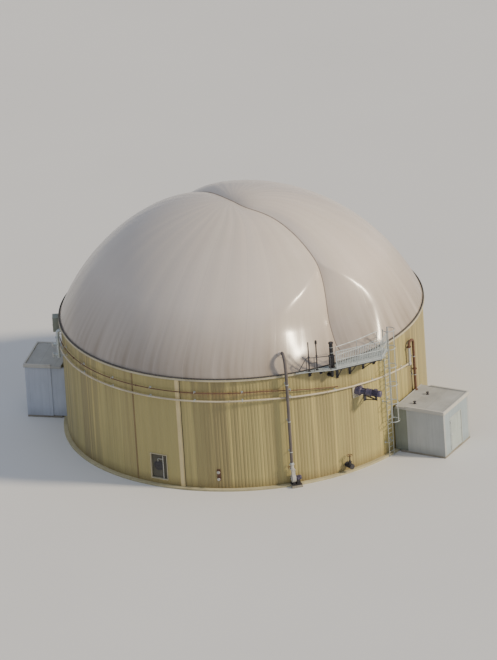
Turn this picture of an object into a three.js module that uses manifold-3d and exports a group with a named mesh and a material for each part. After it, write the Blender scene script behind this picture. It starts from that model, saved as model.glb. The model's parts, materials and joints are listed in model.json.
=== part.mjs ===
// A round biogas digester: concrete tank with metal cladding, inflated membrane roof in two lobes,
// service platform, ladder, agitator drive, gas and air pipework, and two pump sheds against the wall.
// Millimetres, +Z up. The origin is the middle of the floor slab's underside, at ground level.
// An angle on the tank is in degrees, from -Y at 0 towards +X. A turned group's own axes are
// X outwards from the tank's axis, Y along the wall towards larger angles, and Z up.
import * as THREE from "three";
import { mergeVertices } from "three/addons/utils/BufferGeometryUtils.js";
import Module from "manifold-3d";

const wasm = await Module();
wasm.setup();

// Tank
const TANK_R = 11000; // outside of the cladding
const FACETS = 72;
const FACET = 360 / FACETS;
const FIRST_EDGE = 1; // angle of one facet edge
const SLAB_R = 11240;
const SLAB_H = 120;
const CLADDING_T = 110;
const CONCRETE_T = 250;
const WALL_TOP = 7140;
const QUARTER_EDGES = [-39, 51, 141, 231]; // where the cladding and the concrete are jointed
const CONTACT = 0.4; // gap between faces that rest on each other
const SEAT = 0.3; // gap between a fitting and the flat of the wall
const WALL_FACE = TANK_R * Math.cos(rad(FACET / 2));
const CONCRETE_R = TANK_R - CLADDING_T - CONTACT;
const CONCRETE_FACE = CONCRETE_R * Math.cos(rad(FACET / 2));

// Rim
const COPING_R = 11110;
const COPING_H = 110;
const COPING_TOP = WALL_TOP + COPING_H;
const CLAMP_R = 11090;
const CLAMP_T = 45;
const CLAMP_H = 90;

// Membrane roof: a sphere with a valley over the crown between two lobes
const DOME_R = 12050;
const DOME_CENTRE_Z = 2450;
const DOME_FOOT_R = 11030;
const MEMBRANE_T = 50;
const DOME_ROWS = 16;
const VALLEY_DEPTH = 430;
const NEAR_FLANK = 1250; // how far the valley's flank spreads over the lobe above the manhole
const FAR_FLANK = 560; // and over the lobe behind it, whose flank is steeper
const VALLEY_FADE = 4;
const FRONT_FOOT = 36; // the valley's angle at the rim, behind the platform
const FRONT_SWING = 20.6; // how far it swings from the rim to the crown
const FOOT_HOOK = 1.9; // how far it turns back just above the rim
const HOOK_POWER = 30;
const CROWN_TURN = 22; // turn that brings it straight over the crown
const CROWN_SPREAD = 0.12;
const BACK_FOOT = 216; // the valley's angle at the rim on the far side
const BACK_BEND = -9; // how far it swings there
const BEND_LEAN = 1.6; // how much nearer the crown it swings

// Cleft: near the rim the valley widens and sinks between two rounded ridges
const CLEFT_DEPTH = 1300;
const NEAR_RIDGE = 4600; // from the valley to the ridge above the manhole
const FAR_RIDGE = 2800;
const CLEFT_START = 0.51; // shares of the way down where it starts and is whole
const CLEFT_WHOLE = 0.83;
const CLEFT_FADE = 24;
const RIDGE_ROUND = 0.06;

const STRAP_WIDTH = 110;
const STRAP_T = 25;

// Joints and openings in the cladding
const COVER_STRIP = { at: -22.2, width: 300, depth: 40 };
const JOINT_STRIP = { at: -38.4, width: 110, depth: 18 };
const RECESS = { at: -30.2, width: 1150, low: 400, high: 2050 };
const RECESS_FRAME_T = 40;
const RECESS_FRAME_PROUD = 30;
const MANHOLE = { at: -30.7, z: 1230, radius: 310, depth: 45, hub: 90, hubProud: 30 };
const DAVIT = { out: 70, beside: 45, radius: 28, arm: 460, half: 20 };

// Pipework
const GAS_LINE = { from: -83.45, to: 61.9, radius: 55, standoff: 150, clip: 30 };
const GAS_FALL = { high: 5880, drop: 900, start: 2, span: 61, power: 1.35 };
const AIR_LINE = { from: -83.45, to: 29.5, radius: 30, standoff: 130, clip: 20 };
const AIR_FALL = { high: 6400, drop: 640, start: 4, span: 26, power: 1.3 };
const CLIP_EVERY = 15; // degrees between the clips of a line
const HOSE = { at: 12.3, radius: 100, standoff: 300, low: 1500, clips: [6700, 4300, 2300], clip: 30 };
const HOSE_HOOK = [ // distance from the tank's axis and height, from the roof down to the wall
  [10585, 8500],
  [10830, 8480],
  [11060, 8290],
  [11210, 7900],
];
const BLOWER = { axis: 560, casing: 310, inlet: 150, neck: 110, throat: 120, flange: 165, foot: 260 };
const LOOP = { left: 62.4, right: 65.6, top: 6450, radius: 80, standoff: 190, brackets: [5200, 4000] };
const LOOP_ARCH = { start: 330, shoulder: 200, crown: 60, collar: 130 };
const TAKE_OFF = { at: -84, z: 6900, radius: 100, standoff: 260, branches: [6050, 5350], reach: 330 };
const TAKE_OFF_CLIPS = [5700, 5250];
const FLANGE_R = 165;

// Agitator drive
const AGITATOR = { at: 37.2, z: 5050, swing: 27, dip: 4, plate: 420, motor: 205, end: 1500 };

// Platform and ladder
const DECK_Z = 7300;
const DECK_T = 45;
const DECK_R = 11150; // inner edge of the walkway and the platform
const DECK_CORNERS = [ // angle and radius of the outer edge's corners, from the tip to the ladder
  [15.6, 11200],
  [26.1, 11840],
  [41.2, 12520],
  [46.7, 11840],
];
const PLATFORM_BRACKETS = [29.9, 34.6, 40, 44.6];
const WALKWAY_BRACKETS = [20.4, 24.2];
const WALKWAY_RAIL = { height: 900, posts: [25.7, 21.2, 18.9], foot: 16.3 };
const RAIL_H = 1100;
const RAIL_R = 24;
const POST_R = 22;
const LADDER = { at: 48.9, offset: 260, half: 210, rung: 300, top: 8400, holds: [900, 3600, 6300] };
const STILE = { deep: 30, wide: 12 }; // half sizes
const RUNG_HALF = 13;
const CAGE = { low: 2400, radius: 370, set: 300, hoops: 6, bars: 5, strip: 55, thick: 10 };

// Fittings
const STUBS = { at: -10.4, heights: [1220, 770], radius: 50, cap: 95, reach: 190, half: 110, edge: 150 };
const CABINET = { at: -93.5, half: 350, low: 6150, high: 7080, deep: 500, rails: [-260, 260], gap: 140 };
const DRAIN = { at: 31.4, z: 520, radius: 85, flange: 170, reach: 560, body: 130, wheel: 1225 };
const RELIEF = { at: 27, n: 11440, low: 6680, pipe: 85, body: 175, stack: 120, top: 8920, hole: 130 };
const VENTS = { height: 1900, radius: 38, foot: 90, tie: 7800 };
const VENT_POSTS = [
  { at: 19.8, n: 11290, cap: 0 },
  { at: 22.3, n: 11330, cap: 70 },
];

// Sheds
const RIGHT_SHED = { at: 60.75, end: 14310, roof: 3000, name: "right_shed" };
const LEFT_SHED = { at: -105, end: 13430, roof: 3450, name: "left_shed" };
const SHED_HALF = 1645;
const SHED_WALL = 200;
const SHED_START = 11800;
const INFILL_START = 10935;
const SHED_FLOOR_START = 11270;
const SHED_FLOOR_H = 120;
const SHED_ROOF_T = 150;
const SHED_ROOF_START = 11120;
const SHED_EAVES = 70;
const ROOF_KERB = 80;
const DOORWAY = { low: -800, high: 600, height: 2150 };
const DOOR_GAP = 10;
const DOOR_T = 50;
const HINGE_OUT = 25; // from the end wall's face to the hinge axis
const HINGE_HOLE_R = 10.5;
const HINGE_ROD_R = 9.6;
const KNUCKLE_R = 18;
const KNUCKLE_HALF = 60; // half its height
const HANDLE = { inset: 120, z: 1150, proud: 60, length: 140 };

const MATERIALS = {
  concrete: finish(0xb9b4a8, 0.9, 0),
  cladding: finish(0xc6ad72, 0.55, 0.2),
  coping: finish(0xd9d4c4, 0.45, 0.3),
  clamp: finish(0x4a4744, 0.6, 0.3),
  membrane: finish(0xb3a69b, 0.42, 0),
  strap: finish(0x6b6058, 0.7, 0),
  strip: finish(0xdcc79b, 0.5, 0.2),
  joint: finish(0x7d6a45, 0.6, 0.2),
  frame: finish(0xd8d2c0, 0.5, 0.3),
  darkSteel: finish(0x3a3a3f, 0.5, 0.6),
  galvanised: finish(0xa9adae, 0.45, 0.8),
  paleSteel: finish(0xcfcfc6, 0.4, 0.6),
  hose: finish(0x4b4b4e, 0.7, 0),
  motor: finish(0x3d3a4c, 0.45, 0.3),
  primer: finish(0x7e4630, 0.7, 0.1),
  shedWall: finish(0x9a9a98, 0.85, 0),
  shedRoof: finish(0xa5a29d, 0.8, 0),
  door: finish(0xd6dad2, 0.45, 0.3),
  infill: finish(0x878b82, 0.8, 0),
};

const digester = new THREE.Group();

function rad(degrees) {
  return (degrees * Math.PI) / 180;
}

function finish(color, roughness, metalness) {
  return new THREE.MeshStandardMaterial({ color, roughness, metalness });
}

// Point on the tank at radius r, an angle in degrees and height z.
function around(r, angle, z = 0) {
  return new THREE.Vector3(r * Math.sin(rad(angle)), -r * Math.cos(rad(angle)), z);
}

// Group whose X points outwards at the given angle.
function station(angle) {
  const group = new THREE.Group();
  group.rotation.z = rad(angle - 90);
  digester.add(group);
  return group;
}

// Middle angle of the facet that holds an angle, and how far along the flat the angle lies.
function flatAt(angle, face = WALL_FACE) {
  const middle = Math.floor((angle - FIRST_EDGE) / FACET) * FACET + FIRST_EDGE + FACET / 2;
  return { middle, along: face * Math.tan(rad(angle - middle)) };
}

// Closed solid of a three.js geometry.
function solid(geometry) {
  const bare = new THREE.BufferGeometry();
  const loose = geometry.index ? geometry.toNonIndexed() : geometry;
  bare.setAttribute("position", loose.getAttribute("position"));
  const merged = mergeVertices(bare, 1e-3);
  const triVerts = new Uint32Array(merged.index.array);
  const vertProperties = new Float32Array(merged.attributes.position.array);
  return new wasm.Manifold(new wasm.Mesh({ numProp: 3, vertProperties, triVerts }));
}

function geometryOf(shape) {
  const mesh = shape.getMesh();
  const geometry = new THREE.BufferGeometry();
  geometry.setAttribute("position", new THREE.BufferAttribute(mesh.vertProperties, 3));
  geometry.setIndex(new THREE.BufferAttribute(mesh.triVerts, 1));
  geometry.computeVertexNormals();
  return geometry;
}

function join(...solids) {
  return solids.flat().reduce((whole, next) => whole.add(next));
}

function add(parent, name, shape, material) {
  const geometry = shape.isBufferGeometry ? shape : geometryOf(shape);
  const mesh = new THREE.Mesh(geometry, MATERIALS[material].clone());
  mesh.name = name;
  parent.add(mesh);
  return mesh;
}

// Box between two corners.
function block(low, high) {
  const size = high.map((value, i) => value - low[i]);
  const middle = high.map((value, i) => (value + low[i]) / 2);
  return solid(new THREE.BoxGeometry(...size).translate(...middle));
}

// Round bar between two points.
function bar(start, end, radius, sides = 12, endRadius = radius) {
  const a = new THREE.Vector3(...start);
  const b = new THREE.Vector3(...end);
  const along = b.clone().sub(a);
  const geometry = new THREE.CylinderGeometry(endRadius, radius, along.length(), sides);
  const up = new THREE.Vector3(0, 1, 0);
  const turn = new THREE.Quaternion().setFromUnitVectors(up, along.normalize());
  geometry.applyQuaternion(turn).translate(...a.add(b).multiplyScalar(0.5));
  return solid(geometry);
}

// Pipe of round section along a smooth curve through the points.
function pipe(points, radius, steps, sides = 8) {
  const section = new THREE.Shape();
  section.absarc(0, 0, radius, 0, 2 * Math.PI);
  const path = new THREE.CatmullRomCurve3(points, false, "centripetal");
  const options = { extrudePath: path, steps, bevelEnabled: false, curveSegments: sides / 2 };
  return solid(new THREE.ExtrudeGeometry(section, options));
}

// Outline in plan pulled up from one height to another.
function prism(outline, low, high) {
  const shape = new THREE.Shape(outline.map(([x, y]) => new THREE.Vector2(x, y)));
  const options = { depth: high - low, bevelEnabled: false };
  return solid(new THREE.ExtrudeGeometry(shape, options).translate(0, 0, low));
}

function arcPoints(r, from, to) {
  const count = Math.round((to - from) / FACET);
  return Array.from({ length: count + 1 }, (_, i) => {
    const p = around(r, from + ((to - from) * i) / count);
    return [p.x, p.y];
  });
}

// Part of a ring between two angles.
function sector(inner, outer, low, high, from, to) {
  const outline = [...arcPoints(outer, from, to), ...arcPoints(inner, from, to).reverse()];
  return prism(outline, low, high);
}

// Whole ring.
function ring(inner, outer, low, high) {
  const shape = new THREE.Shape();
  const hole = new THREE.Path();
  const circle = (r) => arcPoints(r, FIRST_EDGE, FIRST_EDGE + 360 - FACET);
  shape.setFromPoints(circle(outer).map(([x, y]) => new THREE.Vector2(x, y)));
  hole.setFromPoints(circle(inner).map(([x, y]) => new THREE.Vector2(x, y)));
  shape.holes.push(hole);
  const options = { depth: high - low, bevelEnabled: false };
  return solid(new THREE.ExtrudeGeometry(shape, options).translate(0, 0, low));
}

// A solid drawn in a station's axes, brought to the tank's own axes.
function turned(shape, angle) {
  return shape.rotate([0, 0, angle - 90]);
}

function recessCut() {
  const { at, width, low, high } = RECESS;
  const cut = block([CONCRETE_R - 200, -width / 2, low], [TANK_R + 200, width / 2, high]);
  return turned(cut, at);
}

function makeTank() {
  const slab = new THREE.CylinderGeometry(SLAB_R, SLAB_R, SLAB_H, FACETS, 1, false, rad(FIRST_EDGE));
  slab.rotateX(Math.PI / 2).translate(0, 0, SLAB_H / 2);
  add(digester, "floor_slab", solid(slab), "concrete");
  QUARTER_EDGES.forEach((from, i) => {
    const to = from + 90;
    const inner = CONCRETE_R - CONCRETE_T;
    const wall = sector(inner, CONCRETE_R, SLAB_H, WALL_TOP, from, to);
    add(digester, `concrete_wall_${i + 1}`, wall, "concrete");
    const sheet = sector(TANK_R - CLADDING_T, TANK_R, SLAB_H, WALL_TOP, from, to);
    const cut = from === QUARTER_EDGES[0] ? sheet.subtract(recessCut()) : sheet;
    add(digester, `cladding_${i + 1}`, cut, "cladding");
  });
  const coping = ring(CONCRETE_R - CONCRETE_T, COPING_R, WALL_TOP, COPING_TOP);
  add(digester, "rim_coping", coping, "coping");
  const clamp = ring(CLAMP_R - CLAMP_T, CLAMP_R, COPING_TOP, COPING_TOP + CLAMP_H);
  add(digester, "membrane_clamp", clamp, "clamp");
}

// Angle of the valley in front, at a share of the way from the crown to the foot.
function frontValley(share) {
  const hook = FOOT_HOOK * (1 - share ** HOOK_POWER);
  const crown = CROWN_TURN * Math.exp(-((share / CROWN_SPREAD) ** 2));
  return FRONT_FOOT + FRONT_SWING * (1 - share) - hook - crown;
}

function backValley(share) {
  return BACK_FOOT + BACK_BEND * Math.sin(Math.PI * (1 - share) ** BEND_LEAN);
}

// A turn in degrees, brought between -180 and 180.
function shortTurn(degrees) {
  return ((((degrees + 180) % 360) + 360) % 360) - 180;
}

// Angle that a meridian of the plain sphere takes once the valley's two halves pull it aside.
function swungAngle(angle, share) {
  const front = frontValley(share);
  const back = backValley(share);
  const turn = (((angle - FRONT_FOOT) % 360) + 360) % 360;
  const rear = BACK_FOOT - FRONT_FOOT;
  if (turn <= rear) return front + (turn / rear) * (back - front);
  return back + ((turn - rear) / (360 - rear)) * (front + 360 - back);
}

// Depth below the sphere at a turn away from one half of the valley, on a circle of radius plan.
function dent(turn, share, plan) {
  const across = Math.cos(rad(turn)) > 0 ? plan * Math.abs(Math.sin(rad(turn))) : plan;
  const crease = Math.exp(-across / (turn > 0 ? FAR_FLANK : NEAR_FLANK));
  const way = Math.min(1, Math.max(0, (share - CLEFT_START) / (CLEFT_WHOLE - CLEFT_START)));
  const rise = way * way * (3 - 2 * way);
  const width = (turn > 0 ? FAR_RIDGE : NEAR_RIDGE) * Math.max(rise, 0.05);
  const inside = Math.max(-50, Math.min(50, (1 - across / width) / RIDGE_ROUND));
  const cleft = CLEFT_DEPTH * rise * (1 - share ** CLEFT_FADE) * RIDGE_ROUND * Math.log1p(Math.exp(inside));
  return VALLEY_DEPTH * (1 - share ** VALLEY_FADE) * crease + cleft;
}

function valleyDepth(angle, share, plan) {
  const front = dent(shortTurn(angle - frontValley(share)), share, plan);
  const back = dent(shortTurn(backValley(share) - angle), share, plan);
  return Math.max(front, back);
}

const FOOT_TILT = Math.asin(DOME_FOOT_R / DOME_R);

// Point of the membrane, a given way outside its face.
function domePoint(angle, share, offset) {
  const tilt = FOOT_TILT * share;
  const swung = swungAngle(angle, share);
  const plan = DOME_R * Math.sin(tilt);
  const reach = DOME_R + offset - valleyDepth(swung, share, plan);
  const foot = COPING_TOP + SEAT;
  const height = DOME_CENTRE_Z + reach * Math.cos(tilt);
  const lift = foot - (DOME_CENTRE_Z + DOME_R * Math.cos(FOOT_TILT));
  const p = around(reach * Math.sin(tilt), swung, height + lift * share);
  if (share === 1) p.z = foot;
  return p;
}

// Membrane or strap skin between two offsets, open at the foot: a turned shell whose points are then
// moved onto the two-lobed form.
function domeShell(low, high) {
  const shares = Array.from({ length: DOME_ROWS + 1 }, (_, i) => i / DOME_ROWS);
  const inside = shares.map((share) => new THREE.Vector2(share * DOME_R, 0));
  const outside = shares.map((share) => new THREE.Vector2(share * DOME_R, 1)).reverse();
  const shell = new THREE.LatheGeometry([...inside, ...outside], FACETS, 0, 2 * Math.PI);
  const place = shell.getAttribute("position");
  for (let i = 0; i < place.count; i++) {
    const x = place.getX(i);
    const z = place.getZ(i);
    const share = Math.round((Math.hypot(x, z) / DOME_R) * DOME_ROWS) / DOME_ROWS;
    const step = Math.round((Math.atan2(x, z) / (2 * Math.PI)) * FACETS);
    const point = domePoint(FIRST_EDGE + step * FACET, share, place.getY(i) > 0.5 ? high : low);
    place.setXYZ(i, point.x, point.y, point.z);
  }
  return solid(shell);
}

// Upright curtain along the valley in plan.
function valleyCurtain(width) {
  const centre = [];
  for (let i = DOME_ROWS; i > 0; i--) centre.push(domePoint(FRONT_FOOT, i / DOME_ROWS, 0));
  for (let i = 0; i <= DOME_ROWS; i++) centre.push(domePoint(BACK_FOOT, i / DOME_ROWS, 0));
  const sides = [1, -1].map((side) =>
    centre.map((p, i) => {
      const before = centre[Math.max(0, i - 1)];
      const after = centre[Math.min(centre.length - 1, i + 1)];
      const run = new THREE.Vector2(after.x - before.x, after.y - before.y).normalize();
      return [p.x - (side * run.y * width) / 2, p.y + (side * run.x * width) / 2];
    }),
  );
  const top = DOME_CENTRE_Z + DOME_R * 1.1;
  return prism([...sides[0], ...sides[1].reverse()], COPING_TOP + CLAMP_H + 60, top);
}

function makeRoof() {
  const membrane = domeShell(-MEMBRANE_T, 0);
  add(digester, "membrane_roof", membrane, "membrane");
  const skin = domeShell(-MEMBRANE_T, STRAP_T).subtract(domeShell(-2 * MEMBRANE_T, SEAT));
  const strap = skin.intersect(valleyCurtain(STRAP_WIDTH));
  add(digester, "valley_strap", strap, "strap");
}

// Upright flat bar on the wall.
function wallStrip(name, { at, width, depth }, material) {
  const { middle, along } = flatAt(at);
  const low = [WALL_FACE + SEAT, along - width / 2, SLAB_H];
  const high = [WALL_FACE + depth, along + width / 2, WALL_TOP];
  add(station(middle), name, block(low, high), material);
}

function makeManhole() {
  const { at, width, low, high } = RECESS;
  const half = width / 2 - SEAT;
  const back = CONCRETE_R + 2;
  const front = TANK_R + RECESS_FRAME_PROUD;
  const t = RECESS_FRAME_T;
  const outer = block([back, -half, low + SEAT], [front, half, high - SEAT]);
  const inner = block([back - 50, t - half, low + t], [front + 50, half - t, high - t]);
  add(station(at), "manhole_frame", outer.subtract(inner), "frame");

  const { middle, along } = flatAt(MANHOLE.at, CONCRETE_FACE);
  const seat = CONCRETE_FACE + SEAT;
  const { z, radius, depth, hub, hubProud } = MANHOLE;
  const plate = bar([seat, along, z], [seat + depth, along, z], radius, 24);
  const boss = bar([seat, along, z], [seat + depth + hubProud, along, z], hub, 12);
  add(station(middle), "manhole_cover", join(plate, boss), "darkSteel");

  const [x, y] = [seat + DAVIT.out, along + radius + DAVIT.beside];
  const floor = low + t + SEAT;
  const upright = bar([x, y, floor], [x, y, high - t - 60], DAVIT.radius);
  const arm = z + DAVIT.arm;
  const reach = block([x - DAVIT.half, along + 30, arm], [x + DAVIT.half, y, arm + 2 * DAVIT.half]);
  const lug = block([seat, along - 20, arm - 30], [x + DAVIT.half, along + 60, arm + 2 * DAVIT.half]);
  add(station(middle), "manhole_davit", join(upright, reach, lug), "paleSteel");
}

function makeStubs() {
  const { heights, radius, cap, reach, half, edge } = STUBS;
  const { middle, along } = flatAt(STUBS.at);
  const seat = WALL_FACE + SEAT;
  const low = Math.min(...heights) - edge;
  const high = Math.max(...heights) + edge;
  const plate = block([seat, along - half, low], [seat + 20, along + half, high]);
  const stubs = heights.flatMap((z) => [
    bar([seat, along, z], [seat + reach, along, z], radius),
    bar([seat + reach - 40, along, z], [seat + reach, along, z], cap, 16),
  ]);
  add(station(middle), "sampling_stubs", join(plate, stubs), "primer");
}

// Height at an angle of a line that runs round the wall, level and then with a fall to the right.
function lineHeight({ high, drop, start, span, power }, angle) {
  return high - drop * Math.max(0, (angle - start) / span) ** power;
}

function linePoints({ from, to, standoff }, fall) {
  const count = Math.round((to - from) / FACET);
  return Array.from({ length: count + 1 }, (_, i) => {
    const angle = from + ((to - from) * i) / count;
    return around(TANK_R + standoff, angle, lineHeight(fall, angle));
  });
}

// Clips from the wall to a line, each at the middle of a facet.
function clips(line, fall) {
  const first = flatAt(line.from + 9).middle;
  const count = Math.floor((line.to - 3 - first) / CLIP_EVERY);
  return Array.from({ length: count + 1 }, (_, i) => {
    const angle = first + i * CLIP_EVERY;
    const z = lineHeight(fall, angle);
    const low = [WALL_FACE + SEAT, -line.clip, z - line.clip];
    return turned(block(low, [TANK_R + line.standoff, line.clip, z + line.clip]), angle);
  });
}

function makeLines() {
  const gas = linePoints(GAS_LINE, GAS_FALL);
  const gasPipe = pipe(gas, GAS_LINE.radius, gas.length);
  add(digester, "gas_line", join(gasPipe, clips(GAS_LINE, GAS_FALL)), "frame");
  const air = linePoints(AIR_LINE, AIR_FALL);
  const airPipe = pipe(air, AIR_LINE.radius, air.length, 6);
  add(digester, "air_line", join(airPipe, clips(AIR_LINE, AIR_FALL)), "primer");
}

function makeLoop() {
  const { left, right, radius } = LOOP;
  const { start, shoulder, crown, collar } = LOOP_ARCH;
  const n = TANK_R + LOOP.standoff;
  const foot = RIGHT_SHED.roof + SEAT;
  const branch = lineHeight(GAS_FALL, left);
  const top = LOOP.top - radius;
  const across = (share) => left + (right - left) * share;
  const riser = pipe([around(n, left, branch), around(n, left, top - start)], radius, 1, 12);
  const tee = block([n - 90, -90, branch - 90], [n + 90, 90, branch + 60]);
  add(digester, "loop_riser", join(riser, turned(tee, left)), "paleSteel");
  const over = [
    around(n, left, top - start + SEAT),
    around(n, left, top - shoulder),
    around(n, across(0.15), top - crown),
    around(n, across(0.5), top),
    around(n, across(0.85), top - crown),
    around(n, right, top - shoulder),
    around(n, right, top - start),
  ];
  const arch = pipe(over, radius, 12, 12);
  const leg = pipe([around(n, right, top - start + 30), around(n, right, foot)], radius, 1, 12);
  const ring = turned(bar([n, 0, foot], [n, 0, foot + 60], collar, 16), right);
  const { middle, along } = flatAt(right);
  const holds = LOOP.brackets.map((z) =>
    turned(block([WALL_FACE + SEAT, along - 30, z - 25], [n, along + 30, z + 25]), middle),
  );
  add(digester, "loop_pipe", join(arch, leg, ring, holds), "primer");
}

function makeHose() {
  const { middle, along } = flatAt(HOSE.at);
  const n = TANK_R + HOSE.standoff;
  const drop = [7400, 6600, 4500, 2500, HOSE.low].map((z) => [n, z]);
  const track = [...HOSE_HOOK, ...drop].map(([x, z]) => new THREE.Vector3(x, along, z));
  const holds = HOSE.clips.map((z) =>
    block([WALL_FACE + SEAT, along - 25, z - HOSE.clip], [n, along + 25, z + HOSE.clip]),
  );
  const tube = pipe(track, HOSE.radius, 24, 10);
  add(station(middle), "support_air_hose", join(tube, holds), "hose");

  const { axis, casing, inlet, neck, throat, flange, foot } = BLOWER;
  const low = 1180;
  const high = HOSE.low - SEAT;
  const valve = join(
    bar([n, along, low], [n, along, high], throat, 16),
    bar([n, along, low], [n, along, low + 45], flange, 16),
    bar([n, along, HOSE.low - 45], [n, along, high], flange, 16),
    block([n - 30, along - 250, low + 130], [n + 30, along, low + 190]),
  );
  const sole = SLAB_H + 60;
  const fan = join(
    bar([n, along - 60, axis], [n, along + 170, axis], casing, 20),
    block([n - neck, along - 60, axis], [n + neck, along + 170, low + 20]),
    bar([n, along + 150, axis], [n, along + 520, axis], inlet, 16),
    block([n - foot, along - 120, SLAB_H + CONTACT], [n + foot, along + 540, sole]),
    block([SLAB_R + 40, along - 120, 0], [n + foot, along + 540, sole]),
    block([n - 160, along - 20, sole - 20], [n + 160, along + 130, 400]),
    block([n - 90, along + 330, sole - 20], [n + 90, along + 430, 500]),
  );
  add(station(middle), "support_air_blower", join(fan, valve), "paleSteel");
}

function makeDrainValve() {
  const { z, radius, flange, reach, body, wheel } = DRAIN;
  const { middle, along } = flatAt(DRAIN.at);
  const seat = WALL_FACE + SEAT;
  const n = seat + 330;
  const flanges = [0, 200, 425, reach - 35].map((start) =>
    bar([seat + start, along, z], [seat + start + 35, along, z], flange, 16),
  );
  const valve = join(
    bar([seat, along, z], [seat + reach, along, z], radius, 12),
    flanges,
    block([n - 60, along - body, z - 180], [n + 60, along + body, z + 380]),
    bar([n, along, z + 360], [n, along, wheel], 22),
    bar([n, along, wheel - 30], [n, along, wheel], flange, 16),
  );
  add(station(middle), "drain_valve", valve, "darkSteel");
}

function makeAgitator() {
  const { z, plate: half, motor: radius, end } = AGITATOR;
  const { middle, along } = flatAt(AGITATOR.at);
  const seat = WALL_FACE + SEAT;
  const group = station(middle);
  const swing = rad(AGITATOR.swing);
  const dip = rad(AGITATOR.dip);
  const way = [Math.cos(swing) * Math.cos(dip), Math.sin(swing) * Math.cos(dip), -Math.sin(dip)];
  const on = (length) => [seat + 40 + way[0] * length, along + way[1] * length, z + way[2] * length];
  const plate = join(
    block([seat, along - half, z - half], [seat + 40, along + half, z + half]),
    bar(on(-200), on(150), 300, 20),
  ).subtract(block([seat - 900, along - 900, z - 900], [seat, along + 900, z + 900]));
  add(group, "agitator_flange", plate, "paleSteel");
  const motor = (grow) => bar(on(880), on(end - 60), radius + grow, 16);
  const drive = join(
    bar(on(150 + CONTACT), on(225), 290, 20),
    bar(on(200), on(620), 150, 16),
    bar(on(560), on(900), radius + 30, 16),
    motor(0),
    bar(on(end - 80), on(end), radius + 15, 16),
  );
  add(group, "agitator_motor", drive, "motor");

  // The stay stands on the flat that lies under the motor's middle, and its post is cut to the motor.
  const [x, y, axis] = on(1150);
  const next = flatAt(middle + (Math.atan2(y, x) * 180) / Math.PI).middle - middle;
  const n = x * Math.cos(rad(next)) + y * Math.sin(rad(next));
  const t = y * Math.cos(rad(next)) - x * Math.sin(rad(next));
  const shelf = z - half - 30;
  const stay = join(
    block([seat, t - 110, shelf - half], [seat + 40, t + 110, shelf + 10]),
    block([seat, t - 45, shelf - 90], [n + 120, t + 45, shelf]),
    bar([n - 40, t, shelf - 60], [seat + 40, t, shelf - 340], 40, 8),
    block([n - 70, t - 70, shelf - 30], [n + 70, t + 70, axis - 130]),
  );
  const cradle = stay.rotate([0, 0, next]).subtract(motor(CONTACT));
  add(group, "agitator_bracket", cradle, "paleSteel");
}

// Round handrail and knee rail through the corners, with posts that stand at the given places.
function railing(corners, posts, foot) {
  const runs = [RAIL_H, RAIL_H / 2].flatMap((height) => {
    const z = DECK_Z + height;
    const lengths = corners.slice(1).map(([x, y], i) => bar([...corners[i], z], [x, y, z], RAIL_R, 6));
    const bends = corners.slice(1, -1).map(([x, y]) =>
      bar([x, y, z - RAIL_R], [x, y, z + RAIL_R], RAIL_R, 6),
    );
    return [...lengths, ...bends];
  });
  const stands = posts.map(([x, y]) => bar([x, y, foot], [x, y, DECK_Z + RAIL_H + RAIL_R], POST_R, 6));
  return join(runs, stands);
}

// Deck bracket on a flat of the wall: pad, foot and neck below the coping, upright and arm outside it.
function bracket(along, reach, under, drop) {
  const wall = WALL_FACE + SEAT;
  const neck = COPING_R + 15;
  const piece = (n, half, low, high) => block([n[0], along - half, low], [n[1], along + half, high]);
  return join(
    piece([wall, WALL_FACE + 30], 90, under - drop, WALL_TOP - 15),
    piece([wall, WALL_FACE + 90], 40, under - drop + 40, under - drop + 140),
    piece([wall, neck + 60], 30, WALL_TOP - 160, WALL_TOP - 15),
    piece([neck, neck + 60], 30, WALL_TOP - 160, under),
    piece([neck, reach], 30, under - 90, under),
  );
}

// Radius of the deck's outer edge at an angle: straight in plan from corner to corner.
function deckEdge(angle) {
  const last = DECK_CORNERS.length - 2;
  const past = DECK_CORNERS.findIndex(([corner]) => angle <= corner) - 1;
  const i = past < 0 ? (angle <= DECK_CORNERS[0][0] ? 0 : last) : past;
  const a = around(DECK_CORNERS[i][1], DECK_CORNERS[i][0]);
  const b = around(DECK_CORNERS[i + 1][1], DECK_CORNERS[i + 1][0]);
  const way = around(1, angle);
  return (a.x * (b.y - a.y) - a.y * (b.x - a.x)) / (way.x * (b.y - a.y) - way.y * (b.x - a.x));
}

// Place in plan at an angle, a given way in from the deck's outer edge.
function onEdge(angle, inset) {
  const p = around(deckEdge(angle) - inset, angle);
  return [p.x, p.y];
}

function deckPlate(from, to, corners) {
  const outer = [from, ...corners, to].map((angle) => onEdge(angle, 0));
  const plate = prism([...outer, ...arcPoints(DECK_R, from, to).reverse()], DECK_Z - DECK_T, DECK_Z);
  const { at, n, hole } = RELIEF;
  const low = around(n, at, DECK_Z - 200).toArray();
  return plate.subtract(bar(low, around(n, at, DECK_Z + 200).toArray(), hole, 16));
}

// Wall brackets with struts, and a tie along the deck's inner edge.
function deckSupports(angles, { drop, strut, short }, from, to) {
  const under = DECK_Z - DECK_T - CONTACT;
  const arms = angles.map((angle) => {
    const { middle, along } = flatAt(angle);
    const reach = deckEdge(angle) - 90;
    const foot = [WALL_FACE + 50, along, under - drop + 90];
    const prop = bar([reach - short, along, under - 60], foot, strut, 8);
    return turned(join(bracket(along, reach, under, drop), prop), middle);
  });
  return join(arms, sector(DECK_R + 40, DECK_R + 90, under - 60, under, from, to));
}

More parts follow.
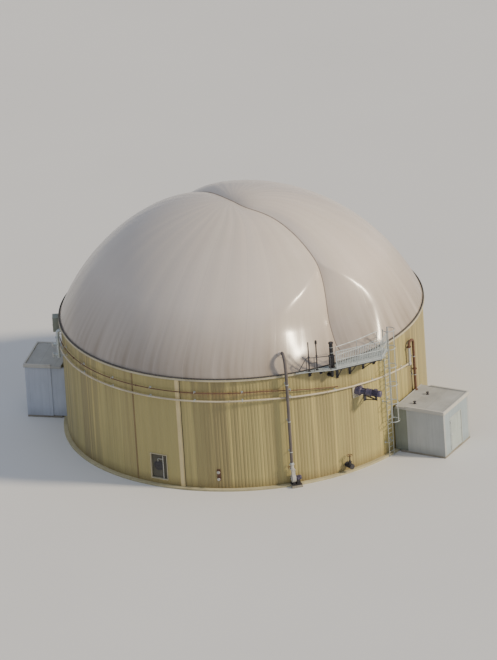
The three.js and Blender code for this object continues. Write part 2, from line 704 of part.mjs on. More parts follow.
function makePlatform() {
  const [, start, bend, end] = DECK_CORNERS.map(([angle]) => angle);
  const from = start + 0.05;
  add(digester, "platform_deck", deckPlate(from, end, [bend]), "galvanised");
  const under = DECK_Z - DECK_T - CONTACT;
  const span = [start + 1, bend, end - 1];
  const outer = span.map((angle) => onEdge(angle, 90));
  const inner = span.map((angle) => onEdge(angle, 150)).reverse();
  const beam = prism([...outer, ...inner], under - 100, under);
  const size = { drop: 1000, strut: 34, short: 150 };
  const supports = deckSupports(PLATFORM_BRACKETS, size, start + 1, end - 1);
  add(digester, "platform_frame", join(supports, beam), "darkSteel");

  const base = DECK_Z + CONTACT;
  const posts = [start + 1.4, 34, bend, end - 0.6].map((angle) => onEdge(angle, 40));
  const corners = [posts[0], posts[2], posts[3]];
  add(digester, "platform_outer_rail", railing(corners, posts, base), "galvanised");
  const back = [start + 3.2, 37, end - 1.2].map((angle) => {
    const p = around(DECK_R + 60, angle);
    return [p.x, p.y];
  });
  add(digester, "platform_inner_rail", railing(back, back, base), "galvanised");
}

// Walkway with one rail, which slopes down to the deck at the tip.
function makeWalkway() {
  const [tip, start] = DECK_CORNERS.map(([angle]) => angle);
  add(digester, "walkway_deck", deckPlate(tip, start, []), "galvanised");
  const size = { drop: 430, strut: 26, short: 60 };
  const supports = deckSupports(WALKWAY_BRACKETS, size, tip + 4, start - 0.2);
  add(digester, "walkway_frame", supports, "darkSteel");

  const { height, posts, foot } = WALKWAY_RAIL;
  const base = DECK_Z + CONTACT;
  const top = DECK_Z + height;
  const at = (angle, z) => [...onEdge(angle, RAIL_R + 4), z];
  const stands = posts.map((angle) => bar(at(angle, base), at(angle, top), POST_R, 6));
  const rail = [
    bar(at(posts[0], top), at(posts[2], top), RAIL_R, 6),
    bar(at(posts[2], top), at(foot, base + RAIL_R), RAIL_R, 6),
    bar(at(foot, base), at(foot, base + 2 * RAIL_R), POST_R, 6),
    bar(at(posts[2], top - RAIL_R), at(posts[2], top + RAIL_R), RAIL_R, 6),
  ];
  add(digester, "walkway_rail", join(stands, rail), "darkSteel");
}

function makeReliefValve() {
  const { at, n, low, pipe: bore, body, stack: slim, top } = RELIEF;
  const group = station(at);
  const { middle, along } = flatAt(at);
  const onFlat = (shape) => turned(shape, middle - at + 90);
  const seat = WALL_FACE + SEAT;
  const flange = onFlat(bar([seat, along, low], [WALL_FACE + 60, along, low], 150, 16));
  const stack = join(
    bar([n, 0, low], [n, 0, DECK_Z + 160], bore, 12),
    bar([n, 0, DECK_Z + CONTACT], [n, 0, DECK_Z + 30], body + 15, 16),
    bar([n, 0, DECK_Z + 140], [n, 0, DECK_Z + 720], body, 16),
    bar([n, 0, DECK_Z + 700], [n, 0, DECK_Z + 740], body + 40, 16),
    bar([n, 0, DECK_Z + 720], [n, 0, top - 60], slim, 16),
    bar([n, 0, top - 80], [n, 0, top], slim + 30, 16),
    bar([n, 0, low], [WALL_FACE - 10, 0, low], bore, 12),
  );
  const wall = onFlat(block([0, -900, 6000], [seat, 900, 7200]));
  add(group, "relief_valve", join(stack, flange).subtract(wall), "darkSteel");
}

function makeVents() {
  const { height, radius, foot: flange, tie } = VENTS;
  const foot = DECK_Z + CONTACT;
  const top = DECK_Z + height;
  const pipes = VENT_POSTS.map(({ at, n, cap }) => {
    const pieces = [
      bar([n, 0, foot], [n, 0, top], radius, 10),
      bar([n, 0, foot], [n, 0, foot + 25], flange, 12),
    ];
    if (cap) pieces.push(bar([n, 0, top - 200], [n, 0, top + 40], cap, 12));
    return turned(join(pieces), at);
  });
  const [a, b] = VENT_POSTS.map(({ at, n }) => around(n, at, tie).toArray());
  add(digester, "vent_pipes", join(pipes, bar(a, b, 20, 8)), "darkSteel");
}

function makeTakeOff() {
  const { at, z: start, radius, standoff, branches, reach } = TAKE_OFF;
  const { middle, along } = flatAt(at);
  const seat = WALL_FACE + SEAT;
  const n = TANK_R + standoff;
  const track = [
    [seat, start],
    [WALL_FACE + 120, start],
    [n - 40, start - 40],
    [n, start - 160],
    [n, start - 400],
    [n, Math.min(...branches) - 200],
  ].map(([x, z]) => new THREE.Vector3(x, along, z));
  const outlets = branches.flatMap((z) => [
    bar([n, along, z], [n + reach, along, z], radius - 15, 12),
    bar([n + reach - 40, along, z], [n + reach, along, z], FLANGE_R, 16),
  ]);
  const plate = bar([seat, along, start], [WALL_FACE + 40, along, start], 180, 16);
  const holds = TAKE_OFF_CLIPS.map((z) => block([seat, along - 30, z - 30], [n, along + 30, z + 30]));
  const body = join(pipe(track, radius, 14, 12), plate, outlets, holds);
  const group = station(middle);
  add(group, "gas_take_off", body, "galvanised");
  branches.forEach((z, i) => {
    const disc = bar([n + reach + SEAT, along, z], [n + reach + 30, along, z], FLANGE_R, 16);
    add(group, `blind_flange_${i + 1}`, disc, "paleSteel");
  });
}

function makeCabinet() {
  const { at, half, low, high, deep, rails, gap } = CABINET;
  const { middle, along } = flatAt(at);
  const seat = WALL_FACE + SEAT;
  const holds = rails.map((t) =>
    block([seat, along + t - 30, low - 250], [seat + gap, along + t + 30, high - 20]),
  );
  const body = block([seat + gap, along - half, low], [seat + deep, along + half, high]);
  add(station(middle), "instrument_cabinet", join(body, holds), "infill");
}

function makeLadder() {
  const { middle, along } = flatAt(LADDER.at);
  const group = station(middle);
  const n = TANK_R + LADDER.offset;
  const { half, rung, top, holds } = LADDER;
  const { deep, wide } = STILE;
  const stiles = [-half, half].map((t) =>
    block([n - deep, along + t - wide, 0], [n + deep, along + t + wide, top]),
  );
  const rungs = Array.from({ length: Math.ceil((top - 100) / rung) - 1 }, (_, i) => {
    const z = rung * (i + 1);
    return block([n - RUNG_HALF, along - half, z - RUNG_HALF], [n + RUNG_HALF, along + half, z + RUNG_HALF]);
  });
  const stays = holds.flatMap((z) =>
    [-half, half].map((t) =>
      block([WALL_FACE + SEAT, along + t - wide, z - deep], [n, along + t + wide, z + deep]),
    ),
  );
  add(group, "ladder", join(stiles, rungs, stays), "galvanised");

  const { low, radius, set, hoops, bars, strip, thick } = CAGE;
  const from = n + deep + SEAT;
  const hoop = (z) => {
    const shape = new THREE.Shape();
    const hole = new THREE.Path();
    shape.absarc(0, 0, radius, 0, 2 * Math.PI);
    hole.absarc(0, 0, radius - thick, 0, 2 * Math.PI);
    shape.holes.push(hole);
    const options = { depth: strip, bevelEnabled: false, curveSegments: 6 };
    const band = solid(new THREE.ExtrudeGeometry(shape, options).translate(from + set, along, z));
    const front = block([from, along - 500, z - 10], [from + 900, along + 500, z + strip + 10]);
    return band.intersect(front);
  };
  const gap = (top - 60 - low) / (hoops - 1);
  const bands = Array.from({ length: hoops }, (_, i) => hoop(low + gap * i));
  const limit = Math.acos(-set / radius) * 0.97;
  const uprights = Array.from({ length: bars }, (_, i) => {
    const turn = -limit + (2 * limit * i) / (bars - 1);
    const x = from + set + (radius - thick - 4) * Math.cos(turn);
    const y = along + (radius - thick - 4) * Math.sin(turn);
    return block([x - wide, y - wide, low], [x + wide, y + wide, top - 5]);
  });
  add(group, "ladder_cage", join(bands, uprights), "galvanised");
}

// Shed against the tank: floor, side walls, end wall in pieces round its doorway, roof and infills.
function makeShed({ at, end, roof, name }, split) {
  const group = station(at);
  const base = SHED_FLOOR_H;
  const under = roof - SHED_ROOF_T;
  const inside = SHED_HALF - SHED_WALL;
  const floor = block([SHED_FLOOR_START, -SHED_HALF, 0], [end, SHED_HALF, base]);
  add(group, `${name}_floor`, floor, "concrete");
  const sides = [-1, 1].map((side) => {
    const edges = [side * inside, side * SHED_HALF].sort((a, b) => a - b);
    return block([SHED_START, edges[0], base], [end, edges[1], under]);
  });
  const endFace = end - SHED_WALL;
  const gap = split ? SEAT : 0;
  const jambs = [
    block([endFace, gap - inside, base], [end, DOORWAY.low, under]),
    block([endFace, DOORWAY.high, base], [end, inside - gap, under]),
  ];
  const sill = base + DOORWAY.height;
  const lintel = block(
    [endFace, DOORWAY.low + gap, sill],
    [end, DOORWAY.high - gap, under],
  );
  const infills = [-1, 1].map((side) => {
    const edges = [side * (SHED_HALF - 160), side * (SHED_HALF - 60)].sort((a, b) => a - b);
    return block([INFILL_START, edges[0], base], [SHED_START - gap, edges[1], under]);
  });
  if (split) {
    add(group, `${name}_near_wall`, sides[0], "shedWall");
    add(group, `${name}_far_wall`, sides[1], "shedWall");
    add(group, `${name}_end_wall_near`, jambs[0], "shedWall");
    add(group, `${name}_end_wall_far`, jambs[1], "shedWall");
    add(group, `${name}_lintel`, lintel, "shedWall");
    add(group, `${name}_infill_near`, infills[0], "infill");
    add(group, `${name}_infill_far`, infills[1], "infill");
  } else {
    add(group, `${name}_walls`, join(sides, jambs, lintel, infills), "shedWall");
  }
  const half = SHED_HALF + SHED_EAVES;
  const reach = end + SHED_EAVES;
  const plate = block([SHED_ROOF_START, -half, under], [reach, half, roof]);
  const kerbs = [
    block([SHED_START, -half, under], [reach, -half + 110, roof + ROOF_KERB]),
    block([SHED_START, half - 110, under], [reach, half, roof + ROOF_KERB]),
    block([reach - 110, -half, under], [reach, half, roof + ROOF_KERB]),
  ];
  add(group, `${name}_roof`, join(plate, kerbs), "shedRoof");
  return group;
}

function doorLeaf(end) {
  const axis = { n: end + HINGE_OUT, t: DOORWAY.low };
  const front = end - DOOR_GAP;
  const low = SHED_FLOOR_H + DOOR_GAP;
  const high = SHED_FLOOR_H + DOORWAY.height - DOOR_GAP;
  const leaf = block(
    [front - DOOR_T, DOORWAY.low + DOOR_GAP, low],
    [front, DOORWAY.high - DOOR_GAP, high],
  );
  const { inset, z, proud, length } = HANDLE;
  const t = DOORWAY.high - inset;
  const handle = join(
    bar([front - 5, t, z], [front + proud, t, z], 14, 10),
    bar([front + proud - 10, t, z], [front + proud - 10, t - length, z], 11, 10),
  );
  return { axis, low, high, front, shape: join(leaf, handle) };
}

function hingeHeights(low, high) {
  return [low + 250, (low + high) / 2, high - 250];
}

function makeRightDoor(group) {
  const { axis, low, high, front, shape } = doorLeaf(RIGHT_SHED.end);
  const rod = (radius, from, to) => bar([axis.n, axis.t, from], [axis.n, axis.t, to], radius, 12);
  const knuckles = hingeHeights(low, high).flatMap((z) => {
    const from = z - KNUCKLE_HALF;
    const to = z + KNUCKLE_HALF;
    return [
      rod(KNUCKLE_R, from, to),
      block([front - 5, axis.t + 30, from], [front + 9, axis.t + 320, to]),
      block([axis.n - 14, axis.t + 12, from], [axis.n + 4, axis.t + 44, to]),
      block([front - 5, axis.t + 30, from], [axis.n + 4, axis.t + 44, to]),
    ];
  });
  const leaf = join(shape, knuckles).subtract(rod(HINGE_HOLE_R, low - 50, high + 50));
  add(group, "right_shed_door", leaf, "door");

  const seat = RIGHT_SHED.end + SEAT;
  const plate = block(
    [seat, axis.t - 90, low + 60],
    [RIGHT_SHED.end + 6, axis.t - 24, high - 60],
  );
  const holds = hingeHeights(low, high).flatMap((z) =>
    [z - KNUCKLE_HALF - 56, z + KNUCKLE_HALF + 6].map((from) =>
      block([seat, axis.t - 60, from], [axis.n + 10, axis.t + 4, from + 50]),
    ),
  );
  const hinge = join(plate, rod(HINGE_ROD_R, low + 70, high - 70), holds);
  add(group, "right_shed_hinge", hinge, "galvanised");
}

// Door kept shut, on strap hinges that lie on the end wall.
function makeLeftDoor(group) {
  const { end } = LEFT_SHED;
  const { axis, low, high, front, shape } = doorLeaf(end);
  const straps = hingeHeights(low, high).flatMap((z) => [
    block([front - 5, axis.t + 20, z - 30], [end + 8, axis.t + 260, z + 30]),
    block([end + SEAT, axis.t - 110, z - 30], [end + 8, axis.t + 260, z + 30]),
  ]);
  add(group, "left_shed_door", join(shape, straps), "door");
}

makeTank();
makeRoof();
wallStrip("cover_strip", COVER_STRIP, "strip");
wallStrip("joint_strip", JOINT_STRIP, "joint");
makeManhole();
makeStubs();
makeLines();
makeLoop();
makeHose();
makeDrainValve();
makeAgitator();
makePlatform();
makeWalkway();
makeReliefValve();
makeVents();
makeTakeOff();
makeCabinet();
makeLadder();
makeRightDoor(makeShed(RIGHT_SHED, true));
makeLeftDoor(makeShed(LEFT_SHED, false));

export default digester;
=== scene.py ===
"""Finished surfaces of a round biogas digester, built around its packed solids.

Metres, +Z up. An angle on the tank is in degrees, from -Y at 0 towards +X. A station's own axes
are n outwards from the tank's axis, t along the wall towards larger angles, and z up.
"""

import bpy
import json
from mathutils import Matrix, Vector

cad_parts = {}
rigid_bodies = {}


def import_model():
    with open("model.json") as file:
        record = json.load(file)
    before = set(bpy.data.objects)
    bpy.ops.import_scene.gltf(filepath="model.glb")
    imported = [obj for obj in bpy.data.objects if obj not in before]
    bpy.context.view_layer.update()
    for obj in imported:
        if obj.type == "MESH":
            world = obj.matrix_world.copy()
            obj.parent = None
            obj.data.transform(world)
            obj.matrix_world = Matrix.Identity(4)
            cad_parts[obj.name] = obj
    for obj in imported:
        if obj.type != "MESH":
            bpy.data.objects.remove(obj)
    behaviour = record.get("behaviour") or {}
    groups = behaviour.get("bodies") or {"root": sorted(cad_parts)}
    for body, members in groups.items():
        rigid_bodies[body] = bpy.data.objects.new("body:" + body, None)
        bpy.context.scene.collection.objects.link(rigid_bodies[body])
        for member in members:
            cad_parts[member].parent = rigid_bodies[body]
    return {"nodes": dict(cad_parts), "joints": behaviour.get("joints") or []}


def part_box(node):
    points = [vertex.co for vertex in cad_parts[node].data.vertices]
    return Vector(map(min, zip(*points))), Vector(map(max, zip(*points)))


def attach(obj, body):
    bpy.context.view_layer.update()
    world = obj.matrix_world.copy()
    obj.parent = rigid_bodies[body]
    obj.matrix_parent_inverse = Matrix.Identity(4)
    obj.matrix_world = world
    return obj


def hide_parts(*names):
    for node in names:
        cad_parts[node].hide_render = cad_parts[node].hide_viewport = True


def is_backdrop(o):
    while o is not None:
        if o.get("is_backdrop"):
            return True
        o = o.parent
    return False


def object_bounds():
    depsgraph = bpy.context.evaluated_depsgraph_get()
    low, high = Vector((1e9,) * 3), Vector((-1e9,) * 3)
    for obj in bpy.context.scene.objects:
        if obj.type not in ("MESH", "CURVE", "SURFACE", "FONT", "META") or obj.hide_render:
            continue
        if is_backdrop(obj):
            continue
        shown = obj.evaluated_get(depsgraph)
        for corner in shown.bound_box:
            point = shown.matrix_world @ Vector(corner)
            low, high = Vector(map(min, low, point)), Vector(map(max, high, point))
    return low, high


bl_info = {
    "name": "Biogas digester",
    "version": (1, 0, 0),
    "blender": (4, 5, 0),
    "location": "3D View > Sidebar > Digester",
    "description": "Ribbed wall sheets, two-lobed membrane roof, steelwork, pipework and sheds",
    "category": "Add Mesh",
}

import json
import math

import bpy
import numpy as np
from bpy.props import FloatProperty, FloatVectorProperty, IntProperty, PointerProperty
from mathutils import Matrix, Vector

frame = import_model()
SOLID_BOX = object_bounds()
HINGE = frame["joints"][0]
FIXED = HINGE["parent"]
DOOR_BODY = HINGE["child"]

# Axes
ORIGIN = (0, 0, 0)
OUT = (1, 0, 0)
ALONG = (0, 1, 0)
UP = (0, 0, 1)

# Tank
TANK_R = 11.0
FACET = 5.0
FIRST_EDGE = 1.0
WALL_FACE = TANK_R * math.cos(math.radians(FACET / 2))
GAP = 0.0004
SEAT = WALL_FACE + GAP
SLAB_R = 11.24
SLAB_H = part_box("floor_slab")[1].z
CLADDING_T = 0.11
CONCRETE_FACE = (TANK_R - CLADDING_T) * math.cos(math.radians(FACET / 2))
WALL_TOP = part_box("cladding_1")[1].z
QUARTER_EDGES = (-39, 51, 141, 231)
RECESS = {"at": -30.2, "width": 1.15, "low": 0.4, "high": 2.05}
LID = {"at": -30.7, "z": 1.23}
STUBS = {"at": -10.4, "z": 0.995}
DRAIN = {"at": 31.4, "z": 0.52}
JOINT_STRIP = -38.4
COVER_STRIP = -22.2
CALM = [math.radians(angle) * WALL_FACE for angle in (JOINT_STRIP, COVER_STRIP)]
FLAT_SHARE = 0.4
TROUGH = (0.66, 0.78)
SCREW_ROWS = 6

# Rim and roof
COPING_R = 11.11
COPING_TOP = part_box("rim_coping")[1].z
CLAMP_R = 11.09
CLAMP_H = 0.09
CLAMP_BOLTS = 344
DOME_R = 12.05
DOME_CENTRE_Z = 2.45
DOME_FOOT_R = 11.03
FOOT_TILT = math.asin(DOME_FOOT_R / DOME_R)
MEMBRANE_T = 0.05
VALLEY_DEPTH = 0.43
NEAR_FLANK = 1.25
FAR_FLANK = 0.56
VALLEY_FADE = 4
FRONT_FOOT = 36.0
FRONT_SWING = 20.6
FOOT_HOOK = 1.9
HOOK_POWER = 30
CROWN_TURN = 22.0
CROWN_SPREAD = 0.12
FINE_ANGLES = (250, 238)
FINE_SHARES = (166, 22)
BACK_FOOT = 216.0
BACK_BEND = -9.0
BEND_LEAN = 1.6
CLEFT_DEPTH = 1.3
CLEFT_WIDTH = {"near": 4.6, "far": 2.8}
CLEFT_RISE = (0.51, 0.83)
CLEFT_FADE = 24
RIDGE_ROUND = 0.06

# Pipework: a line round the wall falls by a length, from an angle on and over a turn, as a power
GAS_LINE = {"start": -83.45, "end": 61.9, "radius": 0.055, "standoff": 0.15, "high": 5.88}
GAS_FALL = {"by": 0.9, "from": 2, "over": 61, "power": 1.35}
AIR_LINE = {"start": -83.45, "end": 29.5, "radius": 0.03, "standoff": 0.13, "high": 6.4}
AIR_FALL = {"by": 0.64, "from": 4, "over": 26, "power": 1.3}
HOSE = {"at": 12.3, "radius": 0.1, "standoff": 0.3, "low": 1.5, "wave": 0.075}
LOOP = {"left": 62.4, "right": 65.6, "top": 6.45, "radius": 0.08, "standoff": 0.19}
LOOP_MIDDLE = (LOOP["left"] + LOOP["right"]) / 2
TAKE_OFF = {"at": -84.0, "radius": 0.1, "standoff": 0.26, "branches": (6.05, 5.35)}
CABINET_AT = -93.5

# Steelwork
DECK_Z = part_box("platform_deck")[1].z
DECK_T = 0.045
DECK_R = 11.15
DECK_CORNERS = ((15.6, 11.2), (26.1, 11.84), (41.2, 12.52), (46.7, 11.84))
PLATFORM_BRACKETS = (29.9, 34.6, 40, 44.6)
WALKWAY_BRACKETS = (20.4, 24.2)
WALKWAY_RAIL = {"height": 0.9, "posts": (25.7, 21.2, 18.9), "foot": 16.3}
RELIEF = {"at": 27.0, "n": 11.44, "low": 6.68, "hole": 0.134}
VENT_POSTS = ((19.8, 11.29, 0), (22.3, 11.33, 0.07))
RAIL_H = 1.1
RAIL_R = 0.024
POST_R = 0.022
LADDER = {"at": 48.9, "offset": 0.26, "half": 0.21, "rung": 0.3, "top": 8.4}
CAGE = {"low": 2.4, "radius": 0.37, "hoops": 6, "bars": 5, "strip": 0.055}
AGITATOR = {"at": 37.2, "z": 5.05, "swing": 27.0, "dip": 4.0, "end": 1.5, "plate": 0.42}

# Sheds
RIGHT_SHED = {"at": 60.75, "end": 14.31, "roof": 3.0, "jamb": (0.022, 0.0003, 0.0001)}
LEFT_SHED = {"at": -105.0, "end": 13.43, "roof": 3.45, "jamb": (0.055, 0.006, 0.003)}
SHED_HALF = 1.645
SHED_WALL = 0.2
SHED_START = 11.8
INFILL_START = 10.935
SHED_FLOOR_H = 0.12
SHED_ROOF_T = 0.15
SHED_ROOF_START = 11.12
SHED_EAVES = 0.07
ROOF_KERB = 0.08
DOORWAY = {"low": -0.8, "high": 0.6, "height": 2.15}
DOOR_GAP = 0.01
DOOR_T = 0.05
DOOR_LOW = SHED_FLOOR_H + DOOR_GAP
DOOR_HIGH = SHED_FLOOR_H + DOORWAY["height"] - DOOR_GAP
HINGE_HEIGHTS = (DOOR_LOW + 0.25, (DOOR_LOW + DOOR_HIGH) / 2, DOOR_HIGH - 0.25)

# View: the photograph's direction and roll, framed closer
VIEW_RISE = 23.65
VIEW_ROLL = 3.77
VIEW_DISTANCE = 734.7
VIEW_TARGET = (0.35, 0.0, 5.6)


# Shapes


class Shape:
    """Points, faces as arrays of point numbers, and a flat place in metres for each face corner."""

    def __init__(self, points, faces, flats):
        self.points = np.asarray(points, float).reshape(-1, 3)
        self.faces = faces
        self.flats = flats

    def volume(self):
        """Signed volume: each face is a fan of triangles joined to the origin."""
        total = 0.0
        for faces in self.faces:
            corner = self.points[faces]
            for j in range(1, faces.shape[1] - 1):
                total += np.einsum("ij,ij->", corner[:, 0], np.cross(corner[:, j], corner[:, j + 1]))
        return total / 6

    def outward(self):
        """The same shape, turned over if its faces point in."""
        if self.volume() < 0:
            self.faces = [faces[:, ::-1] for faces in self.faces]
            self.flats = [flat[:, ::-1] for flat in self.flats]
        return self


def joined(*shapes):
    """Several shapes as one."""
    faces, flats, points, start = [], [], [], 0
    for shape in shapes:
        faces += [part + start for part in shape.faces]
        flats += shape.flats
        points.append(shape.points)
        start += len(shape.points)
    return Shape(np.concatenate(points), faces, flats)


def copies(shape, turns, moves):
    """One shape repeated: each copy is turned by a 3 by 3 matrix and then moved."""
    turns, moves = np.asarray(turns, float), np.asarray(moves, float)
    count, size = len(moves), len(shape.points)
    turned = np.einsum("kij,pj->kpi", np.broadcast_to(turns, (count, 3, 3)), shape.points)
    starts = np.arange(count)[:, None, None] * size
    faces = [(part[None] + starts).reshape(-1, part.shape[1]) for part in shape.faces]
    flats = [np.tile(flat, (count, 1, 1)) for flat in shape.flats]
    return Shape(turned + moves[:, None], faces, flats)


def station_turn(angles):
    """Matrices that bring a station's axes to the tank's own axes, one for each angle."""
    a = np.radians(np.atleast_1d(angles) - 90.0)
    zero, one = np.zeros_like(a), np.ones_like(a)
    rows = [[np.cos(a), -np.sin(a), zero], [np.sin(a), np.cos(a), zero], [zero, zero, one]]
    return np.moveaxis(np.array(rows), 2, 0)


def stationed(shape, angle, base=ORIGIN):
    """A shape drawn about a base point in a station's axes, brought to the tank's own axes."""
    turn = station_turn(angle)
    return copies(shape, turn, turn @ np.asarray(base, float))


def aim(direction):
    """Matrix whose third column is the direction and whose others stand square to it."""
    d = np.asarray(direction, float)
    d = d / np.linalg.norm(d)
    side = np.cross(UP if abs(d[2]) < 0.9 else OUT, d)
    side /= np.linalg.norm(side)
    return np.stack([side, np.cross(d, side), d], 1)


def aimed(shape, base, direction):
    """A shape drawn along +Z from the origin, moved to a base point and turned along a direction."""
    return copies(shape, [aim(direction)], [base])


def lengths(path):
    """How far along a path each of its points lies."""
    return np.concatenate([[0], np.cumsum(np.linalg.norm(np.diff(path, axis=0), axis=1))])


def surface(points, loop_u=False, along=None, across=None):
    """Closed shape over a grid of points: u runs along, and v runs round and meets its start.

    Each grid cell is one face. Open ends in u get a flat cap.
    """
    nu, nv = points.shape[:2]
    if along is None:
        along = lengths(np.concatenate([points[:, 0], points[:1, 0]]))
    if across is None:
        across = lengths(np.concatenate([points[0], points[:1, 0]]))
    i, j = np.meshgrid(np.arange(nu if loop_u else nu - 1), np.arange(nv), indexing="ij")
    i2, j2 = (i + 1) % nu, (j + 1) % nv
    quads = np.stack([i * nv + j, i * nv + j2, i2 * nv + j2, i2 * nv + j], -1).reshape(-1, 4)
    u = np.stack([along[i], along[i], along[i + 1], along[i + 1]], -1)
    v = np.stack([across[j], across[j + 1], across[j + 1], across[j]], -1)
    faces, flats = [quads], [np.stack([u, v], -1).reshape(-1, 4, 2)]
    if not loop_u:
        for order, row in ((-1, 0), (1, nu - 1)):
            faces.append((row * nv + np.arange(nv))[::order][None])
            end = points[row][::order]
            flats.append((end[:, :2] + end[:, 2:])[None])
    return Shape(points, faces, flats).outward()


def poled(points, along, across):
    """Closed shape over a grid whose v runs from one pole to another, with u all the way round."""
    nu, nv = points.shape[:2]
    rows = nv - 2
    i, j = np.meshgrid(np.arange(nu), np.arange(rows - 1), indexing="ij")
    i2 = (i + 1) % nu
    here, there = i * rows + j, i2 * rows + j
    quads = np.stack([here, here + 1, there + 1, there], -1).reshape(-1, 4)
    u = np.stack([along[i], along[i], along[i + 1], along[i + 1]], -1)
    v = np.stack([across[j + 1], across[j + 2], across[j + 2], across[j + 1]], -1)
    k = np.arange(nu)
    k2 = (k + 1) % nu
    middle = (along[k] + along[k + 1]) / 2
    top, bottom = np.full(nu, nu * rows), np.full(nu, nu * rows + 1)
    first = np.stack([top, k * rows, k2 * rows], 1)
    last = np.stack([bottom, k2 * rows + rows - 1, k * rows + rows - 1], 1)
    first_u = np.stack([middle, along[k], along[k + 1]], 1)
    last_u = np.stack([middle, along[k + 1], along[k]], 1)
    first_v = np.broadcast_to([across[0], across[1], across[1]], (nu, 3))
    last_v = np.broadcast_to([across[-1], across[-2], across[-2]], (nu, 3))
    poles = np.stack([points[0, 0], points[0, -1]])
    fans = np.concatenate([first, last])
    fan_flats = np.concatenate([np.stack([first_u, first_v], -1), np.stack([last_u, last_v], -1)])
    flats = [np.stack([u, v], -1).reshape(-1, 4, 2), fan_flats]
    grid = points[:, 1:-1].reshape(-1, 3)
    return Shape(np.concatenate([grid, poles]), [quads, fans], flats).outward()


def circle(radius, sides):
    """Round section: points at equal turns."""
    a = np.arange(sides) * 2 * np.pi / sides
    return radius * np.stack([np.cos(a), np.sin(a)], 1)


def rectangle(width, height, bevel=0.003):
    """Rectangular section with its corners cut off by the bevel."""
    w, h, b = width / 2, height / 2, min(bevel, width / 4, height / 4)
    right = [(w, b - h), (w, h - b), (w - b, h)]
    return np.array(right + [(b - w, h), (-w, h - b), (-w, b - h), (b - w, -h), (w - b, -h)])


def channel_section(height, width, t):
    """U section, open towards the first axis, its back at zero."""
    h = height / 2
    low = [(0, -h), (width, -h), (width, t - h), (t, t - h)]
    return np.array(low + [(t, h - t), (width, h - t), (width, h), (0, h)])


def swept(section, path, normal=UP, bevel=0.0, loop=False, scale=None):
    """Section carried along a path: its first axis is normal x tangent, its second leans to normal.

    With a bevel, both ends draw in by that much over that length. scale gives one size per point.
    """
    path = np.asarray(path, float)
    section = np.asarray(section, float)
    size = np.ones((len(path), 2)) if scale is None else np.repeat(np.asarray(scale)[:, None], 2, 1)
    if bevel:
        inner = path[[0, -1]]
        runs = path[[1, -2]] - inner
        inner = inner + bevel * runs / np.linalg.norm(runs, axis=1)[:, None]
        drawn = 1 - bevel / np.abs(section).max(0)
        path = np.concatenate([path[:1], inner[:1], path[1:-1], inner[1:], path[-1:]])
        size = np.concatenate([[drawn], size[:1], size[1:-1], size[-1:], [drawn]])
    if loop:
        tangent = np.roll(path, -1, 0) - np.roll(path, 1, 0)
    else:
        tangent = np.gradient(path, axis=0)
    tangent /= np.linalg.norm(tangent, axis=1)[:, None]
    side = np.cross(np.broadcast_to(np.asarray(normal, float), tangent.shape), tangent)
    side /= np.linalg.norm(side, axis=1)[:, None]
    rise = np.cross(tangent, side)
    spread = section[None] * size[:, None]
    points = path[:, None] + spread[..., :1] * side[:, None] + spread[..., 1:] * rise[:, None]
    return surface(points, loop_u=loop)


def rod(start, end, radius, sides=12, bevel=0.002):
    """Straight round bar."""
    run = np.subtract(end, start)
    return swept(circle(radius, sides), [start, end], aim(run)[:, 0], bevel)


def block(low, high, bevel=0.004):
    """Box between two corners with its edges taken off."""
    low, high = np.array(low, float), np.array(high, float)
    middle, size = (low + high) / 2, high - low
    section = rectangle(size[1], size[0], bevel)
    ends = [(middle[0], middle[1], low[2]), (middle[0], middle[1], high[2])]
    return swept(section, ends, OUT, min(bevel, size[2] / 4))


def spun(profile, sides=24, base=ORIGIN, direction=UP, closed=False):
    """Profile of (height, radius) pairs turned round an axis, with flat ends or closed on itself."""
    height, radius = np.array(profile, float).T
    a = np.arange(sides) * 2 * np.pi / sides
    x, y = np.outer(radius, np.cos(a)), np.outer(radius, np.sin(a))
    points = np.stack([x, y, np.repeat(height[:, None], sides, 1)], -1)
    return aimed(surface(points, loop_u=closed), base, direction)


def collar(inner, outer, half, base=ORIGIN, direction=UP, sides=24):
    """Square-edged ring round an axis, from half below its base to half above it."""
    profile = [(-half, inner), (-half, outer), (half, outer), (half, inner)]
    return spun(profile, sides, base, direction, closed=True)


def ringed(profile, start, end, step=1.0):
    """Profile of (radius, height) pairs carried round the tank's axis, all the way or part of it."""
    whole = end - start >= 360
    count = max(1, round((end - start) / step))
    angles = np.linspace(start, end, count + 1)
    angles = angles[:-1] if whole else angles
    r, z = np.array(profile, float).T
    a = np.radians(angles)[:, None]
    points = np.stack([r * np.sin(a), -r * np.cos(a), np.broadcast_to(z, (len(angles), len(z)))], -1)
    along = np.radians(np.append(angles, end)) * TANK_R
    return surface(points, loop_u=whole, along=along, across=np.append(z, z[0]))


def around(r, angle, z):
    """Point at radius r and height z on the tank at an angle."""
    a = np.radians(angle)
    return np.stack(np.broadcast_arrays(r * np.sin(a), -r * np.cos(a), z), -1)


def flat_at(angle, face=WALL_FACE):
    """Middle angle of the wall's flat that holds an angle, and the angle's place along that flat."""
    middle = math.floor((angle - FIRST_EDGE) / FACET) * FACET + FIRST_EDGE + FACET / 2
    return middle, face * math.tan(math.radians(angle - middle))


